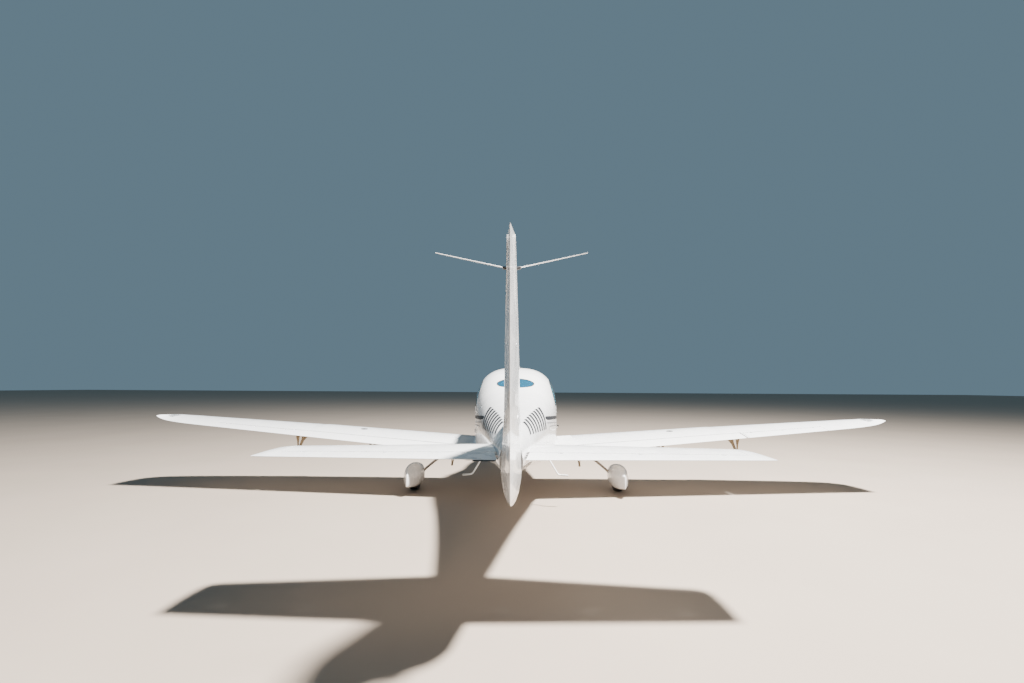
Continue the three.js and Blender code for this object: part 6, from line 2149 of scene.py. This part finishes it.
@dataclass
class Hardware:
    """Hinges, handles, antennas, entry steps, trim tabs, lights, caps and tie-down rings."""

    door_hinge: Outline = field(default_factory=lambda: [(1.950, 1.366), (1.800, 1.536)])
    door_hinge_off: float = 0.015
    baggage_hinge: Outline = field(default_factory=lambda: [(-0.141, 1.060), (-0.141, 1.340)])
    baggage_hinge_off: float = 0.012
    knuckle: float = 0.026
    strap: Outline = field(default_factory=lambda: [
        (0.0, 0.0), (0.006, -0.005), (0.040, -0.007), (0.040, -0.030), (0.008, -0.030), (0.0, -0.009)])
    step_path: tuple[Point, ...] = ((0.470, 0.080, 0.660), (0.600, 0.0, 0.448), (0.735, -0.010, 0.440))
    pitot: Point = (3.950, 1.420, 0.062)

    def hinge_pair(self, places: Outline, off: float) -> tuple[Shape, Shape]:
        """The fixed and moving knuckles of a hinge line on the starboard side.

        Args:
            places: two places of (y, z) on the body's side.
            off: how far the line stands off the skin.

        Returns:
            The fixed knuckles and the moving ones.
        """
        points = [Vector((skin_x(y, z) + off, y, z)) for y, z in places]
        along = (points[1] - points[0]).normalized()
        outward = (Vector((1, 0, 0)) - along * along.x).normalized()
        aside = outward.cross(along)
        axes = Matrix((aside, outward, along)).transposed().to_4x4()
        hand = 1 if aside.y > 0 else -1

        def knuckles(start: float, end: float, way: int) -> Shape:
            """Both knuckles of one half."""
            shapes = []
            for point in points:
                axes.translation = point
                leaf = prism(rounded([(way * a, b) for a, b in self.strap], 0.0015, 3), axes, start, end)
                shapes.append(leaf + bar(point + along * start, point + along * end, 0.008))
            return gathered(shapes)

        return knuckles(SEAM, self.knuckle, hand), knuckles(-self.knuckle, 0.0, -hand)

    def hinges(self, shop: Workshop) -> None:
        """Makes the hinges of the cabin doors and the baggage door."""
        fixed, moving = self.hinge_pair(self.door_hinge, self.door_hinge_off)
        for side in Side:
            shop.piece(f"door_hinge_frame_{side.word}", fixed.on(side), Finish.WHITE, "airframe")
            shop.piece(f"door_hinge_leaf_{side.word}", moving.on(side), Finish.WHITE, f"door_{side.letter}")
        fixed, moving = self.hinge_pair(self.baggage_hinge, self.baggage_hinge_off)
        shop.piece("baggage_hinge_frame", fixed.mirrored(), Finish.WHITE, "airframe")
        shop.piece("baggage_hinge_leaf", moving.mirrored(), Finish.WHITE, "baggage_door_body")

    @staticmethod
    def skin_plate(outline: Outline, low: float, high: float) -> Shape:
        """A plate that follows the starboard side of the body, between two depths."""
        ys = [y for y, _ in outline]
        front, rear = max(ys) + 0.05, min(ys) - 0.05
        core = body(FUSELAGE, -low, front + 0.002, rear - 0.002, 0.02)
        return (body(FUSELAGE, -high, front, rear, 0.02) - core) & side_prism(outline, 0.2, 0.9)

    def handles(self, shop: Workshop) -> None:
        """Makes the door handles, the baggage latch and the starboard grab handle."""
        pan = self.skin_plate(rectangle((0.975, 1.000), (1.120, 1.044), 0.016), -0.0005, 0.0012)
        lever = self.skin_plate(rectangle((0.990, 1.010), (1.098, 1.033), 0.010), 0.0012, 0.0080)
        lever = softened(lever, 0.002, 2)
        for side in Side:
            shop.piece(f"handle_pan_{side.word}", pan.on(side), Finish.ALLOY, f"door_{side.letter}")
            shop.piece(f"handle_lever_{side.word}", lever.on(side), Finish.ALLOY, f"door_{side.letter}")
        x, y, z = skin_x(-0.540, 1.160), -0.540, 1.160
        lock = [spun([(0.014, -0.004), (0.014, 0.002), (0.011, 0.003)], (-x, y, z), (-1, -0.15, 0.02), 40),
                spun([(0.006, 0.0), (0.006, 0.0045), (0.005, 0.005)], (-x, y, z), (-1, -0.15, 0.02), 24)]
        shop.piece("baggage_latch", gathered(lock), Finish.ALLOY, "baggage_door_body")
        x = skin_x(-0.450, 1.100)
        stem = tube(rounded_path([(x - 0.010, -0.450, 1.100), (x + 0.030, -0.450, 1.112),
                                  (x + 0.058, -0.450, 1.158)], 0.02), 0.0042)
        radius, angles = 0.0135, np.linspace(0.05, math.pi - 0.05, 18)
        ball = spun([(math.sin(a) * radius, -math.cos(a) * radius) for a in angles],
                    (x + 0.061, -0.450, 1.163), (0.6, 0, 1), 28)
        shop.piece("grab_stem", stem, Finish.WHITE, "airframe")
        shop.piece("grab_ball", ball, Finish.BLACK, "airframe")

    def antennas(self, shop: Workshop) -> None:
        """Makes the fin's whisker antenna, the roof blade and the pitot tube."""
        y, z = Tail.antenna
        cross = bar((-0.036, y, z), (0.036, y, z), 0.012, sides=40)
        rods = [bar((hand * 0.030, y, z), (hand * 0.512, y - 0.150, z + 0.068), 0.0042, 0.0024, 20)
                for hand in (-1, 1)]
        collars = [turned([(0.0048, 0.0), (0.0125, 0.0), (0.0105, 0.026), (0.0048, 0.034)],
                          (hand * 0.0365, y, z), (hand, -0.15 / 0.482, 0.068 / 0.482), 32)
                   for hand in (-1, 1)]
        shop.piece("whisker_rods", cross + rods[0] + rods[1], Finish.WHITE, "airframe", "nav_antenna")
        shop.piece("whisker_collars", gathered(collars), Finish.BLACK, "airframe")
        rings = []
        for share in np.linspace(0, 1, 12):
            lead, trail = 0.620 - 0.120 * share, 0.500 - 0.060 * share
            level = 1.920 + 0.166 * share
            half = 0.0065 * (1 - 0.45 * share) * (0.35 if share == 1 else 1)
            middle, reach = (lead + trail) / 2, lead - trail
            rings.append(np.array([(math.sin(a) * half, middle + math.cos(a) * reach / 2, level)
                                   for a in np.linspace(0, 2 * math.pi, 40, endpoint=False)]))
        blade = loft(rings) - body(FUSELAGE, -SEAM, 1.0, 0.2)
        shop.piece("roof_blade", blade, Finish.WHITE, "airframe", "com_antenna")
        foot = ((body(FUSELAGE, -0.0035, 0.9, 0.3) - body(FUSELAGE, -0.0005, 0.902, 0.298))
                & plan_prism(rectangle((-0.026, 0.480), (0.026, 0.645), 0.024), 1.7, 2.1))
        shop.piece("roof_blade_foot", foot, Finish.WHITE, "airframe")
        x, y, below = self.pitot
        level = float(foil_points(WING.at(x, smooth=False), 0.22, -1, Wing.camber)[0][2])
        skin = Wing().skin().moved(Matrix.Translation((0, 0, -SEAM)))
        outline = [(y + 0.020, level + 0.012), (y - 0.060, level + 0.012), (y - 0.020, level - below),
                   (y + 0.025, level - below)]
        strut = softened(side_prism(outline, x - 0.005, x + 0.005), 0.0035) - skin
        head = spun([(0.010, 0.0), (0.010, 0.150), (0.0088, 0.200), (0.0072, 0.228), (0.0060, 0.230),
                     (0.0042, 0.2285), (0.0036, 0.215)], (x, y - 0.030, level - below), (0, 1, 0), 40)
        shop.piece("pitot_head", (strut + head).mirrored(), Finish.STEEL, "airframe", "pitot_tube")

    def steps(self, shop: Workshop) -> None:
        """Makes the entry steps behind the wings."""
        rod = tube(rounded_path(list(self.step_path), 0.030, 10), 0.0110, 24)
        rod = rod - body(FUSELAGE, -SEAM, 0.4, -0.3)
        start, end = Vector(self.step_path[1]), Vector(self.step_path[2])
        grip = turned([(0.0112, 0.0), (0.0128, 0.001), (0.0128, 0.093), (0.0112, 0.094)],
                      start + (end - start).normalized() * 0.038, end - start, 28)
        for side in Side:
            shop.piece(f"step_rod_{side.word}", rod.on(side), Finish.WHITE, "airframe", f"step_{side.word}")
            shop.piece(f"step_grip_{side.word}", grip.on(side), Finish.WALKWAY, "airframe")

    def tabs(self, shop: Workshop) -> None:
        """Makes the flat trim tab of the rudder and the bent trim tab of the port elevator."""
        tab = side_prism([(-3.640, 1.415), (-3.692, 1.415), (-3.738, 1.595), (-3.684, 1.595)],
                         -0.0012, 0.0012)
        shop.piece("rudder_trim_tab", tab, Finish.WHITE, "rudder_body")
        level = STAB_Z
        tab = side_prism([(-3.104, level - 0.0008), (-3.158, level - 0.0052), (-3.158, level - 0.0068),
                          (-3.104, level - 0.0024)], -0.284, -0.112)
        # The port elevator's tab is charcoal as painted shade: it is a metal tab that stands in the fin's
        # shadow.
        shop.piece("elevator_trim_tab", tab, Finish.CHARCOAL, "elevator")

    def wing_fittings(self, shop: Workshop, wing: Shape) -> None:
        """Makes the fuel caps, tip lights, stall strips and tie-down rings."""
        x, y = 2.560, 1.260
        angles = np.linspace(0, 2 * math.pi, 48)[:-1]
        circle, ring = [[(x + math.cos(a) * radius, y + math.sin(a) * radius) for a in angles]
                        for radius in (0.043, 0.058)]
        cap = upper_film(wing, circle, 0.0030)
        flange = upper_film(wing, ring, 0.0012) - plan_prism(
            [(x + (a - x) * 1.03, y + (b - y) * 1.03) for a, b in circle], 0.5, 1.4)
        lever = upper_film(wing, rectangle((x - 0.012, y - 0.036), (x + 0.012, y + 0.022), 0.008), 0.0070)
        tip = (wing.moved(Matrix.Translation((0.0016, 0.0022, 0))) - wing) & block(
            (5.600, 1.300, 1.000), (5.900, 1.640, 1.300))
        strobe = (wing.moved(Matrix.Translation((0.0020, 0.0, 0.0006))) - wing) & block(
            (5.700, 1.050, 1.000), (5.900, 1.270, 1.300))
        level = float(foil_points(WING.at(3.05, smooth=False), 0.34, -1, Wing.camber)[0][2])
        eye = (turned([(0.010, -0.0035), (0.017, -0.0035), (0.017, 0.0035), (0.010, 0.0035)],
                      (3.05, 1.400, level - 0.022), (1, 0, 0), 32),
               bar((3.05, 1.400, level - 0.008), (3.05, 1.400, level + 0.010), 0.006))
        strips = []
        for start in (2.05, 4.30):
            rings = []
            for place in np.linspace(start, start + 0.26, 8):
                nose = foil_points(WING.at(place, smooth=False), 0.0, 1, Wing.camber)[0]
                rings.append(np.array([(place, nose[1] + ahead, nose[2] + up) for ahead, up in
                                       ((-0.006, 0.010), (0.0055, -0.003), (-0.006, -0.016))]))
            strips.append(loft(rings))
        for side in Side:
            word = side.word
            shop.piece(f"fuel_cap_{word}", gathered([cap, flange]).on(side), Finish.ALLOY, "airframe")
            shop.piece(f"fuel_cap_lever_{word}", lever.on(side), Finish.STEEL, "airframe")
            lens = Finish.GREEN_LENS if side is Side.RIGHT else Finish.RED_LENS
            shop.piece(f"tip_light_{word}", tip.on(side), lens, "airframe")
            shop.piece(f"strobe_{word}", strobe.on(side), Finish.CLEAR_LENS, "airframe")
            shop.piece(f"tie_down_{word}", gathered(list(eye)).on(side), Finish.STEEL, "airframe")
            shop.piece(f"stall_strips_{word}", gathered(strips).on(side), Finish.WHITE, "airframe")

    def build(self, shop: Workshop, wing: Shape) -> None:
        """Makes every fitting."""
        self.hinges(shop)
        self.handles(shop)
        self.antennas(shop)
        self.steps(shop)
        self.tabs(shop)
        self.wing_fittings(shop, wing)


@dataclass
class Fasteners:
    """Screws set in rows on the skins by a Geometry Nodes tree."""

    radius: float = 0.0042
    height: float = 0.0010
    sides: int = 10

    def tree(self) -> bpy.types.GeometryNodeTree:
        """The tree that puts a screw head on every point, turned to the point's way."""
        tree = bpy.data.node_groups.new("screw_rows", "GeometryNodeTree")
        face = tree.interface
        face.new_socket("Geometry", in_out="INPUT", socket_type="NodeSocketGeometry")
        for name in ("Radius", "Height"):
            face.new_socket(name, in_out="INPUT", socket_type="NodeSocketFloat")
        face.new_socket("Finish", in_out="INPUT", socket_type="NodeSocketMaterial")
        face.new_socket("Geometry", in_out="OUTPUT", socket_type="NodeSocketGeometry")
        nodes, links = tree.nodes, tree.links
        start, end = nodes.new("NodeGroupInput"), nodes.new("NodeGroupOutput")
        head = nodes.new("GeometryNodeMeshCone")
        head.inputs["Vertices"].default_value = self.sides
        share = nodes.new("ShaderNodeMath")
        share.operation = "MULTIPLY"
        share.inputs[1].default_value = 0.72
        way = nodes.new("GeometryNodeInputNamedAttribute")
        way.data_type = "FLOAT_VECTOR"
        way.inputs["Name"].default_value = "way"
        turn = nodes.new("FunctionNodeAlignRotationToVector")
        turn.axis = "Z"
        spread = nodes.new("GeometryNodeInstanceOnPoints")
        solid = nodes.new("GeometryNodeRealizeInstances")
        dress = nodes.new("GeometryNodeSetMaterial")
        links.new(start.outputs["Geometry"], spread.inputs["Points"])
        links.new(start.outputs["Radius"], head.inputs["Radius Bottom"])
        links.new(start.outputs["Radius"], share.inputs[0])
        links.new(share.outputs[0], head.inputs["Radius Top"])
        links.new(start.outputs["Height"], head.inputs["Depth"])
        links.new(head.outputs["Mesh"], spread.inputs["Instance"])
        links.new(way.outputs["Attribute"], turn.inputs["Vector"])
        links.new(turn.outputs["Rotation"], spread.inputs["Rotation"])
        links.new(spread.outputs["Instances"], solid.inputs["Geometry"])
        links.new(solid.outputs["Geometry"], dress.inputs["Geometry"])
        links.new(start.outputs["Finish"], dress.inputs["Material"])
        links.new(dress.outputs["Geometry"], end.inputs["Geometry"])
        return tree

    @staticmethod
    def seen(skin: Shape, rays: list[tuple[Point, Point]]) -> list[tuple[Vector, Vector]]:
        """Where rays meet a skin, with the skin's way out there.

        Args:
            skin: the solid that carries the screws.
            rays: each ray's start and its way.

        Returns:
            Each hit's place and normal.
        """
        tree = skin_tree(skin)
        hits = [tree.ray_cast(Vector(start), Vector(way)) for start, way in rays]
        return [(hit[0], hit[1]) for hit in hits if hit[0] is not None]

    def rows(self, shop: Workshop, name: str, body_name: str, hits: list[tuple[Vector, Vector]],
             size: float = 1.0) -> None:
        """Makes the screws of one body as a plain mesh.

        Args:
            shop: makes the pieces.
            name: the piece's name.
            body_name: the body that the screws ride on.
            hits: place and normal of each screw.
            size: scale of the screws.
        """
        mesh = bpy.data.meshes.new("points")
        mesh.from_pydata([tuple(place) for place, _ in hits], [], [])
        ways = mesh.attributes.new("way", "FLOAT_VECTOR", "POINT")
        ways.data.foreach_set("vector", [value for _, normal in hits for value in normal])
        item = bpy.data.objects.new("points", mesh)
        bpy.context.scene.collection.objects.link(item)
        modifier = item.modifiers.new("screws", "NODES")
        modifier.node_group = self.tree()
        sockets = {socket.name: socket.identifier for socket in modifier.node_group.interface.items_tree
                   if socket.in_out == "INPUT"}
        modifier[sockets["Radius"]] = self.radius * size
        modifier[sockets["Height"]] = self.height * size
        modifier[sockets["Finish"]] = shop.material(Finish.STEEL)
        result = Cushion.evaluated(item)
        bpy.data.objects.remove(item)
        shop.piece(name, Shape(result), Finish.STEEL, body_name)

    def build(self, shop: Workshop, wing: Shape) -> None:
        """Sets the screws of the cowl, the spinner and the access covers."""
        nose = body(COWL, 0, 2.4803, 3.60)
        rays = [((hand * 0.9, y, z), (-hand, 0, 0)) for hand in (-1, 1) for z in (1.128, 1.160)
                for y in np.arange(2.560, 3.420, 0.082)]
        for angle in np.linspace(0, 2 * math.pi, 44, endpoint=False):
            way = (-math.cos(angle), 0, -math.sin(angle))
            rays.append(((math.cos(angle) * 1.2, 2.500, 1.060 + math.sin(angle) * 1.2), way))
        airframe = self.seen(nose, rays)
        below = self.covers(shop, wing)
        self.rows(shop, "airframe_screws", "airframe", airframe + below)
        turns = np.linspace(0, 2 * math.pi, 24, endpoint=False) + 0.06
        spinner = [(Vector((math.cos(a) * 0.1672, 3.660, 1.170 + math.sin(a) * 0.1672)),
                    Vector((math.cos(a), 0.05, math.sin(a)))) for a in turns]
        self.rows(shop, "spinner_screws", "propeller_body", spinner, 0.9)

    def covers(self, shop: Workshop, wing: Shape) -> list[tuple[Vector, Vector]]:
        """Makes the access covers below the wings.

        Args:
            shop: makes the pieces.
            wing: the wing's whole skin.

        Returns:
            Where the covers' screws go.
        """
        lowered = wing.moved(Matrix.Translation((0, 0, -0.0012)))
        plates, rays = [], []
        for x in (1.320, 2.000, 2.720, 3.420, 4.150, 4.850):
            circle = [(x + math.cos(a) * 0.062, 1.330 + math.sin(a) * 0.095)
                      for a in np.linspace(0, 2 * math.pi, 48, endpoint=False)]
            plates.append((lowered - wing) & plan_prism(circle, 0.4, 1.3))
            rays += [((x + math.cos(a) * 0.053, 1.330 + math.sin(a) * 0.085, 0.2), (0, 0, 1))
                     for a in np.linspace(0, 2 * math.pi, 10, endpoint=False)]
        for side in Side:
            shop.piece(f"access_covers_{side.word}", gathered(plates).on(side), Finish.WHITE, "airframe")
        hits = self.seen(lowered, rays)
        return hits + [(Vector((-p.x, p.y, p.z)), Vector((-n.x, n.y, n.z))) for p, n in hits]


@dataclass
class Studio:
    """A plain pale floor, soft light and a calm backdrop colour."""

    floor_colour: tuple[float, float, float] = (0.36, 0.298, 0.243)
    air_colour: tuple[float, float, float] = (0.30, 0.47, 0.60)
    air_strength: float = 0.42
    sun_way: Point = (0.385, -0.165, 1.0)
    sun_distance: float = 18.0

    def build(self) -> None:
        """Makes the floor, the light and the backdrop."""
        bpy.ops.mesh.primitive_plane_add(size=240)
        floor = bpy.context.object
        floor.name = "studio_floor"
        tree = Tree("studio_floor")
        worn = tuple(c * 0.93 for c in self.floor_colour)
        tone = tree.ramp(tree.noise(0.6, 6), (0.3, self.floor_colour), (0.7, worn))
        floor.data.materials.append(tree.shade(Base_Color=tone, Roughness=0.85))
        key = bpy.data.lights.new("key", "AREA")
        key.shape, key.size, key.energy, key.color = "DISK", 1.6, 25500, (1.0, 0.965, 0.92)
        lamp = bpy.data.objects.new("key", key)
        way = Vector(self.sun_way).normalized()
        lamp.location = way * self.sun_distance
        lamp.rotation_euler = way.to_track_quat("Z", "Y").to_euler()
        bpy.context.scene.collection.objects.link(lamp)
        world = bpy.data.worlds.new("studio_air")
        world.use_nodes = True
        background = world.node_tree.nodes["Background"]
        background.inputs["Color"].default_value = (*self.air_colour, 1)
        background.inputs["Strength"].default_value = self.air_strength
        bpy.context.scene.world = world


@dataclass
class PhotoCamera:
    """The camera that the photograph was taken with, solved from its vanishing points and sizes."""

    place: Point = (0.061, -6.568, 1.674)
    yaw: float = math.radians(-1.011)
    pitch: float = math.radians(5.539)
    roll: float = math.radians(-0.327)
    focal_pixels: float = 460.0
    image_width: float = 1024.0
    sensor: float = 36.0

    def build(self) -> None:
        """Makes the camera and looks through it."""
        ahead = Vector((math.sin(self.yaw) * math.cos(self.pitch), math.cos(self.yaw) * math.cos(self.pitch),
                        math.sin(self.pitch)))
        level = Vector((math.cos(self.yaw), -math.sin(self.yaw), 0))
        down = ahead.cross(level)
        right = math.cos(self.roll) * level + math.sin(self.roll) * down
        down = -math.sin(self.roll) * level + math.cos(self.roll) * down
        data = bpy.data.cameras.new("photo_camera")
        data.sensor_width = self.sensor
        data.lens = self.sensor * self.focal_pixels / self.image_width
        data.clip_start, data.clip_end = 0.05, 500
        camera = bpy.data.objects.new("photo_camera", data)
        axes = Matrix((right, -down, -ahead)).transposed().to_4x4()
        axes.translation = Vector(self.place)
        camera.matrix_world = axes
        bpy.context.scene.collection.objects.link(camera)
        bpy.context.scene.camera = camera


def main() -> None:
    """Builds the aircraft's pieces and the studio in order."""
    logging.basicConfig(level=logging.INFO, format="%(message)s")
    shop = Workshop()
    PhotoCamera().build()
    Studio().build()
    tail = Tail()
    cove = tail.rudder_room()
    Fuselage().build(shop, cove, tail.stab_skin(SEAM))
    tail.horizontal(shop)
    tail.vertical(shop, cove)
    wing = Wing()
    wing.build(shop)
    Powerplant().build(shop)
    LandingGear().build(shop, wing.skin())
    Cabin().build(shop)
    skin = wing.skin() + wing.root_fairing()
    Livery().build(shop, skin)
    Seals().build(shop)
    Hardware().build(shop, wing.skin())
    Fasteners().build(shop, wing.skin())
    for node, finish in {
            "firewall": Finish.STEEL, "cabin_floor": Finish.CARPET, "rear_bulkhead": Finish.CARPET,
            "elevator_torque_tube": Finish.STEEL}.items():
        shop.dress(node, finish)


if __name__ == "__main__":
    main()
